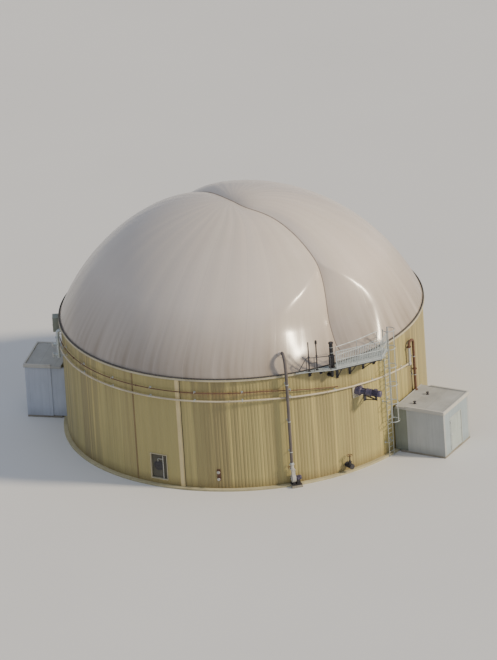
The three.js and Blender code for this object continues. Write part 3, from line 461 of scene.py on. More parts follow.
def smooth_path(points, step):
    """Points at equal steps along a smooth curve: cubic stretches whose slopes join their neighbours."""
    p = np.asarray(points, float)
    p = np.concatenate([2 * p[:1] - p[1:2], p, 2 * p[-1:] - p[-2:-1]])
    t = np.linspace(0, 1, 24, endpoint=False)[None, :, None]
    a, b, c, d = (p[k : len(p) - 3 + k, None] for k in range(4))
    square, cube = 2 * a - 5 * b + 4 * c - d, 3 * b - 3 * c + d - a
    curve = 0.5 * (2 * b + (c - a) * t + square * t**2 + cube * t**3)
    curve = np.concatenate([curve.reshape(-1, p.shape[1]), p[-2:-1]])
    length = lengths(curve)
    places = np.linspace(0, length[-1], max(2, round(length[-1] / step)) + 1)
    return np.stack([np.interp(places, length, curve[:, k]) for k in range(p.shape[1])], 1)


def rounded_path(corners, radius):
    """Straight runs between corners, with each inner corner a round bend."""
    corners = [np.asarray(c, float) for c in corners]
    path = [corners[0]]
    for before, corner, after in zip(corners, corners[1:], corners[2:]):
        into = (corner - before) / np.linalg.norm(corner - before)
        out = (after - corner) / np.linalg.norm(after - corner)
        t = np.linspace(0, 1, 9)[:, None]
        start, end = corner - into * radius, corner + out * radius
        path += list((1 - t) ** 2 * start + 2 * t * (1 - t) * corner + t**2 * end)
    return np.array(path + [corners[-1]])


def bolt(radius=0.012, height=0.012):
    """Hexagon head on a washer, standing on the ground plane."""
    washer = spun([(-0.001, radius * 1.5), (height * 0.2, radius * 1.45)], 10)
    head = spun([(0, radius), (height * 0.9, radius), (height, radius * 0.8)], 6)
    return joined(washer, head)


def bolt_circle(count, ring, base, direction, radius=0.012, height=0.014):
    """Bolts on a circle round an axis."""
    a = (np.arange(count) + 0.5) * 2 * np.pi / count
    moves = np.stack([ring * np.cos(a), ring * np.sin(a), np.zeros(count)], 1)
    return aimed(copies(bolt(radius, height), [np.eye(3)], moves), base, direction)


def flange(radius, thick, base, direction, count=8, size=0.012):
    """Round flange with a rounded rim and bolts on both faces."""
    base, direction = np.asarray(base, float), np.asarray(direction, float)
    direction = direction / np.linalg.norm(direction)
    edge = min(0.004, thick / 5)
    profile = [(0, radius - edge), (edge, radius), (thick - edge, radius), (thick, radius - edge)]
    disc = spun(profile, 32, base, direction)
    ring = radius * 0.8
    front = bolt_circle(count, ring, base + direction * thick, direction, size)
    return joined(disc, front, bolt_circle(count, ring, base, -direction, size))


def torus(radius, bar, sides=32, base=ORIGIN, direction=UP, section=10):
    """Round bar bent into a ring."""
    a = np.arange(sides) * 2 * np.pi / sides
    path = radius * np.stack([np.cos(a), np.sin(a), 0 * a], 1)
    return aimed(swept(circle(bar, section), path, (0, 0, 1), loop=True), base, direction)


def handwheel(radius, base, direction):
    """Rim, hub and four curved spokes."""
    parts = [torus(radius, radius * 0.09), spun([(-0.02, radius * 0.2), (0.025, radius * 0.18)], 12)]
    for k in range(4):
        a = math.radians(90 * k)
        way = np.array([math.cos(a), math.sin(a), 0])
        path = [way * radius * 0.1, way * radius * 0.5 + (0, 0, -0.01), way * radius]
        parts.append(swept(circle(radius * 0.06, 8), smooth_path(path, radius / 4), (0, 0, 1)))
    return aimed(joined(*parts), base, direction)


# Pieces


def shown(name, data):
    """A new object in the scene for a mesh, a lamp or a camera."""
    thing = bpy.data.objects.new(name, data)
    bpy.context.scene.collection.objects.link(thing)
    return thing


def put(name, parts, nodes=(), body=FIXED, sharp=35.0, values=None):
    """Makes one piece from (shape, material) pairs: it rides on a body and stands for CAD nodes."""
    points, loops, totals, flats, picks, materials, start = [], [], [], [], [], [], 0
    for shape, material in parts:
        if material not in materials:
            materials.append(material)
        for faces, flat in zip(shape.faces, shape.flats):
            loops.append((faces + start).ravel())
            totals.append(np.full(len(faces), faces.shape[1]))
            flats.append(flat.reshape(-1, 2))
            picks.append(np.full(len(faces), materials.index(material)))
        points.append(shape.points)
        start += len(shape.points)
    points, loops, totals = np.concatenate(points), np.concatenate(loops), np.concatenate(totals)
    mesh = bpy.data.meshes.new(name)
    mesh.vertices.add(len(points))
    mesh.vertices.foreach_set("co", points.astype(np.float32).ravel())
    mesh.loops.add(len(loops))
    mesh.loops.foreach_set("vertex_index", loops.astype(np.int32))
    mesh.polygons.add(len(totals))
    mesh.polygons.foreach_set("loop_start", (np.cumsum(totals) - totals).astype(np.int32))
    for material in materials:
        mesh.materials.append(material)
    mesh.polygons.foreach_set("material_index", np.concatenate(picks).astype(np.int32))
    mesh.update(calc_edges=True)
    mesh.polygons.foreach_set("use_smooth", np.ones(len(totals), bool))
    layer = mesh.uv_layers.new(name="Flat")
    layer.data.foreach_set("uv", np.concatenate(flats).astype(np.float32).ravel())
    for key, value in (values or {}).items():
        mesh.attributes.new(key, "FLOAT", "POINT").data.foreach_set("value", value.astype(np.float32))
    mesh.set_sharp_from_angle(angle=math.radians(sharp))
    mesh.update()
    if mesh.validate():
        raise RuntimeError(f"{name} has faces that don't hold together")
    piece = shown(name, mesh)
    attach(piece, body)
    if nodes:
        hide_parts(*nodes)


def put_at(name, nodes, angle, base, *parts, body=FIXED):
    """One piece at a station: each part is a material and the shapes that it covers."""
    pairs = [(stationed(joined(*shapes), angle, base), material) for material, *shapes in parts]
    put(name, pairs, nodes.split(), body)


def dress(node, material):
    """Gives a CAD node that stays in view its finish."""
    mesh = frame["nodes"][node].data
    mesh.materials.clear()
    mesh.materials.append(material)


# Finishes


class Finish:
    """A material and short calls that add nodes to it."""

    def __init__(self, name):
        self.material = bpy.data.materials.new(name)
        self.material.use_nodes = True
        self.tree = self.material.node_tree
        self.shader = self.tree.nodes["Principled BSDF"]
        self.place = self.tree.nodes.new("ShaderNodeTexCoord")

    def feed(self, socket, value):
        """Links another node's output to an input, or sets the input to a number or a colour."""
        if isinstance(value, bpy.types.NodeSocket):
            self.tree.links.new(value, socket)
        else:
            socket.default_value = tone(value) if socket.type == "RGBA" else value

    def add(self, kind, values, **settings):
        """One node: settings are its own, values go to its inputs."""
        node = self.tree.nodes.new(kind)
        for key, value in settings.items():
            setattr(node, key, value)
        for key, value in values.items():
            self.feed(node.inputs[key], value)
        return node

    def stretched(self, scale, source):
        """Coordinates multiplied by a scale: one number, or one for each axis."""
        scale = scale if isinstance(scale, tuple) else (scale, scale, scale)
        values = {"Vector": self.place.outputs[source], "Scale": scale}
        return self.add("ShaderNodeMapping", values).outputs[0]

    def noise(self, scale, detail=3.0, rough=0.55, source="Object"):
        """Cloudy noise, so many clouds to the metre."""
        vector = self.stretched(scale, source)
        values = {"Vector": vector, "Scale": 1.0, "Detail": detail, "Roughness": rough}
        return self.add("ShaderNodeTexNoise", values).outputs[0]

    def cells(self, scale):
        """Crystal-like cells, so many to the metre."""
        values = {"Vector": self.stretched(scale, "Object"), "Scale": 1.0}
        return self.add("ShaderNodeTexVoronoi", values).outputs

    def ramp(self, value, low, high, start=0.0, end=1.0):
        """Value brought from one range to another, held at its ends."""
        values = {"Value": value, "From Min": low, "From Max": high, "To Min": start, "To Max": end}
        return self.add("ShaderNodeMapRange", values).outputs[0]

    def calc(self, operation, a, b=0.0):
        """One sum worked out on two values."""
        return self.add("ShaderNodeMath", {0: a, 1: b}, operation=operation).outputs[0]

    def split(self, vector):
        """The three parts of a vector, or of the coordinates that a name stands for."""
        vector = self.place.outputs[vector] if isinstance(vector, str) else vector
        return self.add("ShaderNodeSeparateXYZ", {"Vector": vector}).outputs

    def times(self, a, b):
        """Two values multiplied."""
        return self.calc("MULTIPLY", a, b)

    def mix(self, share, a, b):
        """Colour a with a share of colour b over it."""
        return self.add("ShaderNodeMix", {0: share, 6: a, 7: b}, data_type="RGBA").outputs[2]

    def over(self, base, colour, value, low, high, most=1.0):
        """A colour laid over the base as a value goes from low to high."""
        return self.mix(self.ramp(value, low, high, 0.0, most), base, colour)

    def bump(self, height, distance, strength=1.0, normal=None):
        """Surface raised by a height, over a normal that is bumped already if there is one."""
        values = {"Height": height, "Distance": distance, "Strength": strength}
        if normal is not None:
            values["Normal"] = normal
        return self.add("ShaderNodeBump", values).outputs[0]

    def done(self, colour, rough, normal=None, metal=0.0, **fixed):
        """Feeds the finished channels to the shader and returns the material."""
        channels = {"Base Color": colour, "Roughness": rough, "Metallic": metal, **fixed}
        if normal is not None:
            channels["Normal"] = normal
        for key, value in channels.items():
            self.feed(self.shader.inputs[key.replace("_", " ")], value)
        return self.material


def tone(colour):
    """Colour with full cover."""
    return (*tuple(colour)[:3], 1.0)


def shade(colour, factor, warm=0.0):
    """A colour made darker or lighter, and warmer or cooler."""
    r, g, b = colour[:3]
    return (min(1, r * factor * (1 + warm)), min(1, g * factor), min(1, b * factor * (1 - warm)))


def srgb(r, g, b):
    """Colour from screen values of 0 to 255."""
    return tuple(((c / 255 + 0.055) / 1.055) ** 2.4 for c in (r, g, b))


def finish_of(name, make, *values):
    """The named material, made the first time that it is asked for."""
    return bpy.data.materials.get(name) or make(name, *values)


def sheet_paint(name, colour, streak, grime):
    """Painted ribbed sheet: a tint for each sheet, upright streaks of weathering, and run-off under the rim.

    The sheets between the joint strip and the cover strip are smoother and hardly streaked, and rust
    from the air line has run down the sheets beside them.
    """
    f = Finish(name)
    tint = f.add("ShaderNodeAttribute", {}, attribute_name="tint").outputs["Fac"]
    broad = f.noise((0.55, 0.035, 1), 3, 0.6, "UV")
    fine = f.noise((5.5, 0.12, 1), 4, 0.6, "UV")
    bands = f.noise((2.1, 0.04, 1), 3, 0.6, "UV")
    place, height = f.split("UV")[:2]
    share = f.calc("ADD", f.times(tint, 0.5), f.times(broad, 0.55))
    base = f.over(colour, streak, share, 0.3, 0.66)
    base = f.over(base, shade(streak, 0.78), fine, 0.5, 0.72, 0.5)
    base = f.over(base, shade(streak, 0.86), bands, 0.5, 0.36, 0.45)
    base = f.over(base, shade(colour, 1.22, 0.05), bands, 0.54, 0.64, 0.7)
    under_rim = f.times(f.ramp(height, 5.9, 7.1), f.ramp(fine, 0.35, 0.7, 0.0, 0.12))
    base = f.mix(under_rim, base, grime)
    line = AIR_LINE["high"]
    below_line = f.times(f.ramp(height, line - 0.45, line - 0.1), f.ramp(height, line + 0.06, line))
    reach = f.times(f.ramp(place, CALM[1], CALM[1] + 0.05), f.ramp(place, 2.6, 1.8))
    run_off = f.times(f.times(below_line, reach), f.ramp(fine, 0.3, 0.6, 0.15, 0.55))
    base = f.mix(run_off, base, srgb(142, 104, 64))
    calm = f.times(f.ramp(place, CALM[0], CALM[0] + 0.02), f.ramp(place, CALM[1], CALM[1] - 0.02))
    base = f.mix(f.times(calm, 0.72), base, shade(colour, 0.9))
    splash = f.times(f.ramp(height, 0.75, 0.15), f.ramp(broad, 0.3, 0.7, 0.3, 0.75))
    base = f.mix(splash, base, shade(grime, 0.8))
    speck = f.noise(60, 2)
    rough = f.ramp(fine, 0.2, 0.8, 0.42, 0.66)
    normal = f.bump(speck, 0.0012, 0.5, f.bump(broad, 0.006, 0.35))
    return f.done(base, rough, normal)


def membrane_fabric(name, colour, dirt, gores):
    """Coated fabric: welded seams between gores, soft pleats from the crown, dust and rain marks.

    It is greyer towards -X, as painted shade on the side away from the main light, and darker along the foot,
    from dust and painted shade.
    """
    f = Finish(name)
    parts = f.split("UV")
    gore = 2 * math.pi * DOME_FOOT_R / gores
    plan = f.calc("SINE", f.calc("DIVIDE", parts[1], DOME_R))
    across = f.calc("PINGPONG", parts[0], gore / 2)
    across = f.times(f.times(across, plan), DOME_R / DOME_FOOT_R)
    weld = f.ramp(across, 0.036, 0.028)
    pleats = f.noise((0.42, 0.03, 1), 3, 0.5, "UV")
    folds = f.noise((1.9, 0.09, 1), 2, 0.5, "UV")
    cloud = f.noise((0.22, 0.22, 0.3), 4, 0.6)
    weave = f.cells(90)["Distance"]
    base = f.over(colour, shade(colour, 0.9, 0.02), pleats, 0.35, 0.65)
    base = f.over(base, dirt, cloud, 0.45, 0.8, 0.35)
    # Painted shade: the fabric is greyed towards -X, on the side away from the main light.
    painted_shade_left = f.ramp(f.split("Object")[0], 9.0, -4.0, 0.0, 0.85)
    base = f.mix(painted_shade_left, base, shade(colour, 0.78, -0.015))
    # Darker along the foot: dust, and painted shade laid over it.
    foot = f.times(f.ramp(parts[1], 9.6, 13.4), f.ramp(folds, 0.3, 0.7, 0.45, 0.9))
    base = f.mix(foot, base, shade(dirt, 0.78))
    base = f.mix(f.times(weld, 0.2), base, shade(colour, 0.76))
    rough = f.calc("ADD", f.ramp(cloud, 0.3, 0.8, 0.22, 0.34), f.times(weave, 0.03))
    normal = f.bump(folds, 0.02, 0.35, f.bump(pleats, 0.09, 0.3))
    normal = f.bump(weld, 0.004, 0.5, f.bump(weave, 0.0006, 0.5, normal))
    return f.done(base, rough, normal, Coat_Weight=0.3, Coat_Roughness=0.15)


def webbing(name, colour):
    """Woven strap: fine ribs across, twill along, dust in the weave."""
    f = Finish(name)
    parts = f.split("UV")
    ribs = f.calc("SINE", f.times(parts[0], 900.0))
    twill = f.calc("SINE", f.times(f.calc("ADD", parts[0], parts[1]), 700.0))
    dust = f.noise(1.5, 4)
    base = f.over(colour, shade(colour, 1.35), dust, 0.4, 0.7)
    base = f.over(base, shade(colour, 0.6), ribs, -1, 1, 0.25)
    rough = f.ramp(dust, 0.3, 0.7, 0.7, 0.85)
    return f.done(base, rough, f.bump(f.calc("ADD", ribs, twill), 0.0008, 0.7))


def steel_paint(name, colour, rust=0.25, rough=0.45, metal=0.0):
    """Painted steel: faded patches, rain streaks, chips that have rusted, and orange-peel in the paint."""
    f = Finish(name)
    cloud = f.noise((0.9, 0.9, 0.6), 4, 0.6)
    rain = f.noise((16, 16, 0.9), 3, 0.6)
    chips = f.noise(9, 6, 0.75)
    peel = f.noise(140, 2)
    base = f.over(colour, shade(colour, 0.78), cloud, 0.35, 0.7)
    base = f.over(base, shade(colour, 0.55, 0.08), rain, 0.52, 0.78, 0.5)
    base = f.over(base, shade(colour, 1.25), rain, 0.4, 0.2, 0.35)
    bare = f.ramp(chips, 0.66 - 0.12 * rust, 0.7 - 0.1 * rust)
    rusted = f.mix(f.ramp(peel, 0.3, 0.7), srgb(104, 58, 34), srgb(62, 38, 28))
    base = f.mix(f.times(bare, min(1.0, 0.35 + rust)), base, rusted)
    gloss = f.ramp(cloud, 0.3, 0.7, rough - 0.06, rough + 0.12)
    gloss = f.calc("ADD", gloss, f.times(bare, 0.25))
    normal = f.bump(chips, 0.002, 0.4, f.bump(peel, 0.0006, 0.5))
    return f.done(base, gloss, normal, metal)


def zinc_coat(name, colour):
    """Hot-dip galvanised steel: spangle, dull bloom, white run marks."""
    f = Finish(name)
    cells = f.cells(28)
    grey = f.split(cells["Color"])[0]
    bloom = f.noise((2.2, 2.2, 1.2), 5, 0.65)
    runs = f.noise((22, 22, 1.1), 3)
    base = f.mix(f.ramp(grey, 0, 1), shade(colour, 0.82), shade(colour, 1.14))
    base = f.over(base, shade(colour, 0.7, 0.03), bloom, 0.42, 0.72, 0.6)
    base = f.over(base, srgb(214, 216, 212), runs, 0.58, 0.8, 0.55)
    rough = f.calc("ADD", f.ramp(grey, 0, 1, 0.36, 0.5), f.ramp(bloom, 0.4, 0.75, 0.0, 0.25))
    metal = f.ramp(bloom, 0.4, 0.8, 0.5, 0.2)
    normal = f.bump(cells["Distance"], 0.0005, 0.4, f.bump(runs, 0.0008, 0.4))
    return f.done(base, rough, normal, metal)


def cast_concrete(name, colour, stain, damp=0.0):
    """Concrete: cloudy cement, sand grain, blow holes, rain stains and damp near the ground."""
    f = Finish(name)
    cloud = f.noise(0.7, 5, 0.6)
    sand = f.noise(85, 3, 0.7)
    runs = f.noise((5, 5, 0.35), 4, 0.6)
    holes = f.ramp(f.cells(9)["Distance"], 0.09, 0.05)
    height = f.split("Object")[2]
    base = f.over(colour, shade(colour, 0.84, 0.02), cloud, 0.3, 0.7)
    base = f.over(base, shade(colour, 0.62), sand, 0.35, 0.7, 0.28)
    base = f.over(base, stain, runs, 0.5, 0.78, 0.55)
    wet = f.times(f.ramp(height, 0.5, 0.02), f.ramp(cloud, 0.3, 0.65, 0.3, 0.8))
    base = f.mix(f.times(wet, damp), base, shade(stain, 0.6))
    base = f.mix(f.times(holes, 0.6), base, shade(colour, 0.35))
    normal = f.bump(holes, -0.004, 0.7, f.bump(sand, 0.0015, 0.6, f.bump(cloud, 0.006, 0.3)))
    return f.done(base, f.ramp(sand, 0.3, 0.7, 0.78, 0.95), normal)


def panel_paint(name, colour, stain, rib):
    """Painted wall panel: upright ribs at a pitch, joints, rain marks and a dirty foot."""
    f = Finish(name)
    parts = f.split("UV")
    wave = f.calc("PINGPONG", parts[1], rib / 2)
    groove = f.ramp(wave, 0.012, 0.004)
    cloud = f.noise((0.8, 0.8, 0.5), 4, 0.6)
    rain = f.noise((7, 7, 0.3), 4, 0.6)
    grain = f.noise(120, 2)
    height = f.split("Object")[2]
    base = f.over(colour, shade(colour, 0.87), cloud, 0.3, 0.72)
    base = f.over(base, stain, rain, 0.5, 0.76, 0.6)
    base = f.over(base, shade(colour, 1.15), rain, 0.42, 0.2, 0.35)
    foot = f.times(f.ramp(height, 0.7, 0.1), f.ramp(cloud, 0.3, 0.7, 0.3, 0.8))
    base = f.mix(foot, base, shade(stain, 0.8))
    base = f.mix(f.times(groove, 0.45), base, shade(colour, 0.55))
    normal = f.bump(groove, -0.006, 0.8, f.bump(grain, 0.0008, 0.5))
    return f.done(base, f.ramp(cloud, 0.3, 0.7, 0.5, 0.7), normal)


def roofing(name, colour, stain, lap):
    """Sheet roofing: laps at a width, puddle rings and grit."""
    f = Finish(name)
    grit = f.noise(150, 3, 0.7)
    puddle = f.noise(0.9, 5, 0.6)
    parts = f.split("UV")
    seam = f.ramp(f.calc("PINGPONG", parts[0], lap / 2), 0.02, 0.012)
    base = f.over(colour, shade(colour, 0.82, 0.02), puddle, 0.35, 0.62)
    base = f.over(base, stain, puddle, 0.56, 0.7, 0.7)
    base = f.over(base, shade(colour, 0.6), grit, 0.35, 0.7, 0.3)
    base = f.mix(f.times(seam, 0.5), base, shade(colour, 0.6))
    normal = f.bump(grit, 0.002, 0.6, f.bump(seam, 0.004, 0.6))
    return f.done(base, f.ramp(puddle, 0.4, 0.7, 0.85, 0.6), normal)


def rubber(name, colour):
    """Rubber: bloom, scuffs and fine grain."""
    f = Finish(name)
    bloom = f.noise((3, 3, 1.5), 4)
    grain = f.noise(180, 2)
    base = f.over(colour, shade(colour, 1.7), bloom, 0.35, 0.7)
    base = f.over(base, shade(colour, 2.3), grain, 0.4, 0.75, 0.3)
    return f.done(base, f.ramp(bloom, 0.3, 0.7, 0.55, 0.8), f.bump(grain, 0.0008, 0.5))


PAINTS = {
    # name, group and property of its colour, rust, roughness
    "cream": ("Cream flashing paint", "wall", "rim_paint", 0.1, 0.45),
    "dark": ("Dark steel paint", "steel", "dark", 0.3, 0.48),
    "pale": ("Pale machine paint", "steel", "pale", 0.3, 0.42),
    "pipe": ("Cream pipe paint", "pipes", "gas", 0.25, 0.42),
    "primer": ("Red-brown primer", "pipes", "primer", 0.7, 0.6),
    "motor": ("Motor enamel", "steel", "motor", 0.2, 0.36),
}


def paint(key):
    """One of the plain paints, in the colour that its settings hold."""
    name, group, colour, rust, rough = PAINTS[key]
    colour = getattr(settings(group), colour)
    return finish_of(name, steel_paint, colour, rust, rough)


def settings(group):
    """The scene's settings for one group of pieces."""
    return getattr(bpy.context.scene, f"digester_{group}")


# Finishes that several pieces share


def sheets_finish():
    """Paint of the wall's sheets, in the three colours that the wall's settings hold."""
    look = settings("wall")
    return finish_of("Wall sheet paint", sheet_paint, look.paint, look.streak, look.grime)


def zinc():
    return finish_of("Galvanised steel", zinc_coat, settings("steel").zinc)


def fasteners():
    return finish_of("Zinc fasteners", zinc_coat, srgb(150, 150, 146))


def plinth_concrete():
    return finish_of("Plinth concrete", cast_concrete, srgb(168, 163, 150), srgb(120, 112, 96), 0.7)


def black_rubber():
    return finish_of("Black rubber", rubber, srgb(38, 37, 38))


# Small parts that several pieces share


def bars(starts, ends, thick, high):
    """Straight flat bars on edge: each a box from start to end, its top at their height."""
    starts, ends = np.asarray(starts, float), np.asarray(ends, float)
    ring = ((0, -0.5), (1, -0.5), (1, 0.5), (0, 0.5))
    corner = np.array([(*spot, z) for z in (-1, 0) for spot in ring], float)
    faces = np.array([(0, 3, 2, 1), (4, 5, 6, 7), (0, 1, 5, 4), (1, 2, 6, 5), (2, 3, 7, 6), (3, 0, 4, 7)])
    flats = (corner[:, :2] + corner[:, 2:])[faces]
    run = ends - starts
    side = np.cross(UP, run)
    side /= np.linalg.norm(side, axis=1)[:, None]
    up = np.cross(run, side)
    up /= np.linalg.norm(up, axis=1)[:, None]
    turns = np.stack([run, side * thick, up * high], 2)
    return copies(Shape(corner, [faces], [flats]), turns, starts)


def pad(n, t, z, width, height, thick=0.012):
    """Plate on the wall in a station's axes, with a bolt in each corner."""
    plate = block((n, t - width / 2, z - height / 2), (n + thick, t + width / 2, z + height / 2), 0.003)
    w, h = width / 2 - 0.022, height / 2 - 0.022
    moves = [(n + thick, t + a * w, z + b * h) for a in (-1, 1) for b in (-1, 1)]
    return joined(plate, copies(bolt(0.009, 0.01), [aim(OUT)], moves))


def wall_arm(n, end, t, z, size, half=0.02, back=0.01):
    """Pad of a width and height on the wall at n, and a flat or square arm from it to an end."""
    arm = block((n + back, t - half, z - 0.02), (end, t + half, z + 0.02))
    return joined(pad(n, t, z, *size), arm)


# Tank wall


def sheet_profile(start, end, pitch, depth):
    """Arc places and depths of ribbed sheet: flats, then troughs with gently sloped sides."""
    marks = np.array([0, FLAT_SHARE, *TROUGH])
    first, last = math.floor(start / pitch) - 1, math.ceil(end / pitch) + 1
    places = ((np.arange(first, last)[:, None] + marks) * pitch).ravel()
    places = places[(places > start + 1e-6) & (places < end - 1e-6)]
    places = np.concatenate([[start], places, [end]])
    fall = np.interp((places / pitch) % 1, [*marks, 1], [0, 0, 1, 1, 0]) * depth
    return places, fall


def sheet(start, end, low, high, lift, look):
    """One upright sheet between two arc places. It rises evenly by 1.5 gauges over the places of
    `lift`, so that its far edge laps over the next sheet."""
    pitch = 2 * math.pi * WALL_FACE / (look.sheets * look.ribs)
    places, fall = sheet_profile(start, end, pitch, look.rib_depth)
    raised = np.interp(places, lift, [0.0, look.sheet_gauge * 1.5])
    front = WALL_FACE - fall + raised
    r = np.concatenate([front, (front - look.sheet_gauge)[::-1]])
    a = np.degrees(np.concatenate([places, places[::-1]]) / WALL_FACE)
    ring = np.stack([around(r, a, low), around(r, a, high)])
    across = np.concatenate([places, places[::-1], places[:1]])
    shape = surface(ring, along=np.array([low, high, high]), across=across)
    shape.flats = [flat[..., ::-1] for flat in shape.flats]
    return shape


def screw_heads(radius, height, sides, turns, moves):
    """Round screw heads that face outwards, one for each move."""
    profile = [(0, radius), (0.002, radius - 0.0005), (height, radius / 2)]
    return copies(aimed(spun(profile, sides), ORIGIN, OUT), turns, moves)


def recess_cut():
    """Arc places of the two sides of the manhole's opening."""
    half = math.degrees(math.asin(RECESS["width"] / 2 / WALL_FACE))
    return [math.radians(RECESS["at"] + side * half) * WALL_FACE for side in (-1, 1)]


def quarter_sheets(edge, width, look):
    """Sheets from an angle to the next quarter, open at the manhole, and a tint for each point."""
    first, cut, lap = math.radians(edge) * WALL_FACE, recess_cut(), FLAT_SHARE * width / look.ribs
    rng = np.random.default_rng(int(edge) + 400)
    parts, tints = [], []
    for k in range(look.sheets // 4):
        start, end = first + k * width, first + (k + 1) * width + lap
        stops = sorted({start, end, *[c for c in cut if start < c < end]})
        tint = rng.uniform(0.0, 1.0)
        for a, b in zip(stops, stops[1:]):
            opening = cut[0] < (a + b) / 2 < cut[1]
            heights = [SLAB_H, RECESS["low"], RECESS["high"], WALL_TOP] if opening else [SLAB_H, WALL_TOP]
            for low, high in zip(heights[::2], heights[1::2]):
                parts.append(sheet(a, b, low, high, (start, end), look))
                tints.append(np.full(len(parts[-1].points), tint))
    return joined(*parts), np.concatenate(tints)


def quarter_screws(edge, width, look):
    """Screws on every flat of a quarter's sheets in level rows, but for those in the opening."""
    cut, flats = recess_cut(), np.arange(look.sheets // 4 * look.ribs) + FLAT_SHARE / 2
    rib = math.radians(edge) * WALL_FACE + flats * width / look.ribs
    rows = np.linspace(SLAB_H + 0.12, WALL_TOP - 0.1, SCREW_ROWS)
    place, z = [grid.ravel() for grid in np.meshgrid(rib, rows)]
    beside = (place < cut[0] - 0.03) | (place > cut[1] + 0.03)
    outside = beside | (z < RECESS["low"]) | (z > RECESS["high"])
    angles = np.degrees(place[outside] / WALL_FACE)
    spots = around(WALL_FACE + 0.0002, angles, z[outside])
    return screw_heads(0.009, 0.007, 6, station_turn(angles), spots)


def hat_strip(at, width, depth, flange_width):
    """Folded hat section up the wall: raised middle, sloped sides and two screwed flanges."""
    middle, along = flat_at(at)
    w, f, t = width / 2, flange_width, 0.002
    back = SEAT + t
    half = [(back, -w), (back, f - w), (SEAT + depth, f - w + 0.012)]
    other = [(n, -side) for n, side in half[::-1]]
    section = np.array(half + other + [(SEAT, w), (SEAT, -w)]) + (0, along)
    ends = [np.column_stack([section, np.full(len(section), z)]) for z in (SLAB_H, WALL_TOP)]
    shape = surface(np.stack(ends), along=np.array([SLAB_H, WALL_TOP, WALL_TOP]))
    z = np.arange(SLAB_H + 0.15, WALL_TOP - 0.05, 0.4)
    moves = [(back, along + side * (w - f / 2), h) for h in z for side in (-1, 1)]
    heads = screw_heads(0.01, 0.008, 8, [np.eye(3)], moves)
    return stationed(shape, middle), stationed(heads, middle)


def make_wall():
    """Base ledge, the sheets with their screws in four quarters, and the two strips up the wall."""
    look = settings("wall")
    stain = shade(look.ledge, 0.62, 0.05)
    ledge = finish_of("Base concrete", cast_concrete, look.ledge, stain, 0.6)
    slab = spun([(0, SLAB_R), (SLAB_H - 0.012, SLAB_R), (SLAB_H, SLAB_R - 0.012)], 288)
    put("base_ledge", [(slab, ledge)], ["floor_slab"])
    width = 2 * math.pi * WALL_FACE / look.sheets
    for k, edge in enumerate(QUARTER_EDGES):
        sheets, tints = quarter_sheets(edge, width, look)
        screws = quarter_screws(edge, width, look)
        tints = np.append(tints, np.zeros(len(screws.points)))
        parts = [(sheets, sheets_finish()), (screws, fasteners())]
        put(f"wall_sheets_{k + 1}", parts, [f"cladding_{k + 1}"], sharp=6.0, values={"tint": tints})
    middle, along = flat_at(COVER_STRIP)
    low = (WALL_FACE + 0.0005, along + 0.15, SLAB_H)
    edge_seal = stationed(block(low, (WALL_FACE + 0.02, along + 0.178, WALL_TOP)), middle)
    strip, heads = hat_strip(COVER_STRIP, 0.3, 0.04, 0.045)
    cover = finish_of("Cover strip paint", steel_paint, look.strip_paint, 0.12, 0.45)
    parts = [(strip, cover), (heads, fasteners()), (edge_seal, black_rubber())]
    put("wall_cover_strip", parts, ["cover_strip"])
    strip, heads = hat_strip(JOINT_STRIP, 0.11, 0.018, 0.022)
    joint = finish_of("Joint strip paint", steel_paint, look.joint_paint, 0.2, 0.55)
    put("wall_joint_strip", [(strip, joint), (heads, fasteners())], ["joint_strip"])


# Rim and roof


def make_rim():
    """Flashing with a cover over each of its joints, and the clamp bar with its bolts."""
    cream = paint("cream")
    r, low, top = COPING_R, WALL_TOP, COPING_TOP
    inner = CONCRETE_FACE - 0.25
    drip = [(inner, low + GAP), (r - 0.012, low + GAP), (r - 0.002, low + 0.002)]
    face = [(r + 0.006, low + 0.004), (r, low + 0.016), (r, top - 0.006), (r - 0.006, top)]
    flashing = ringed(drip + face + [(inner, top)], 0, 360)
    above = [(r - 0.25, top - 0.002), (r - 0.25, top + 0.003), (r - 0.004, top + 0.003)]
    front = [(r + 0.003, top - 0.004), (r + 0.003, low + 0.02), (r - 0.002, low + 0.02)]
    cover = above + front + [(r - 0.002, top - 0.002)]
    middles = [k * 10 + 3.5 for k in range(36)]
    covers = joined(*[ringed(cover, a - 0.3, a + 0.3, 0.3) for a in middles])
    put("rim_flashing", [(flashing, cream), (covers, cream)], ["rim_coping"])
    r, low, high = CLAMP_R, COPING_TOP + GAP, COPING_TOP + CLAMP_H
    back, edge = r - 0.045, r - 0.003
    section = [(back, low), (edge, low), (r, low + 0.003), (r, high - 0.003), (edge, high), (back, high)]
    a = np.arange(CLAMP_BOLTS) * 360 / CLAMP_BOLTS
    profile = [(-0.001, 0.017), (0.003, 0.0165), (0.0035, 0.011), (0.013, 0.0105)]
    head = aimed(spun(profile, 6), ORIGIN, OUT)
    heads = copies(head, station_turn(a), around(r, a, (low + high) / 2))
    dark = finish_of("Clamp bar", steel_paint, settings("steel").clamp, 0.5, 0.5, 0.3)
    put("roof_clamp", [(ringed(section, 0, 360), dark), (heads, fasteners())], ["membrane_clamp"])


def front_valley(share):
    """Angle of the valley in front: its foot plus a swing of 1 - share, with a small hook of
    1 - share^power at the foot, and turned straight at the crown."""
    hook = FOOT_HOOK * (1 - share**HOOK_POWER)
    crown = CROWN_TURN * np.exp(-((share / CROWN_SPREAD) ** 2))
    return FRONT_FOOT + FRONT_SWING * (1 - share) - hook - crown


def back_valley(share):
    """Angle of the valley behind: its foot plus a bend of sin(pi (1 - share)^lean)."""
    return BACK_FOOT + BACK_BEND * np.sin(np.pi * (1 - share) ** BEND_LEAN)


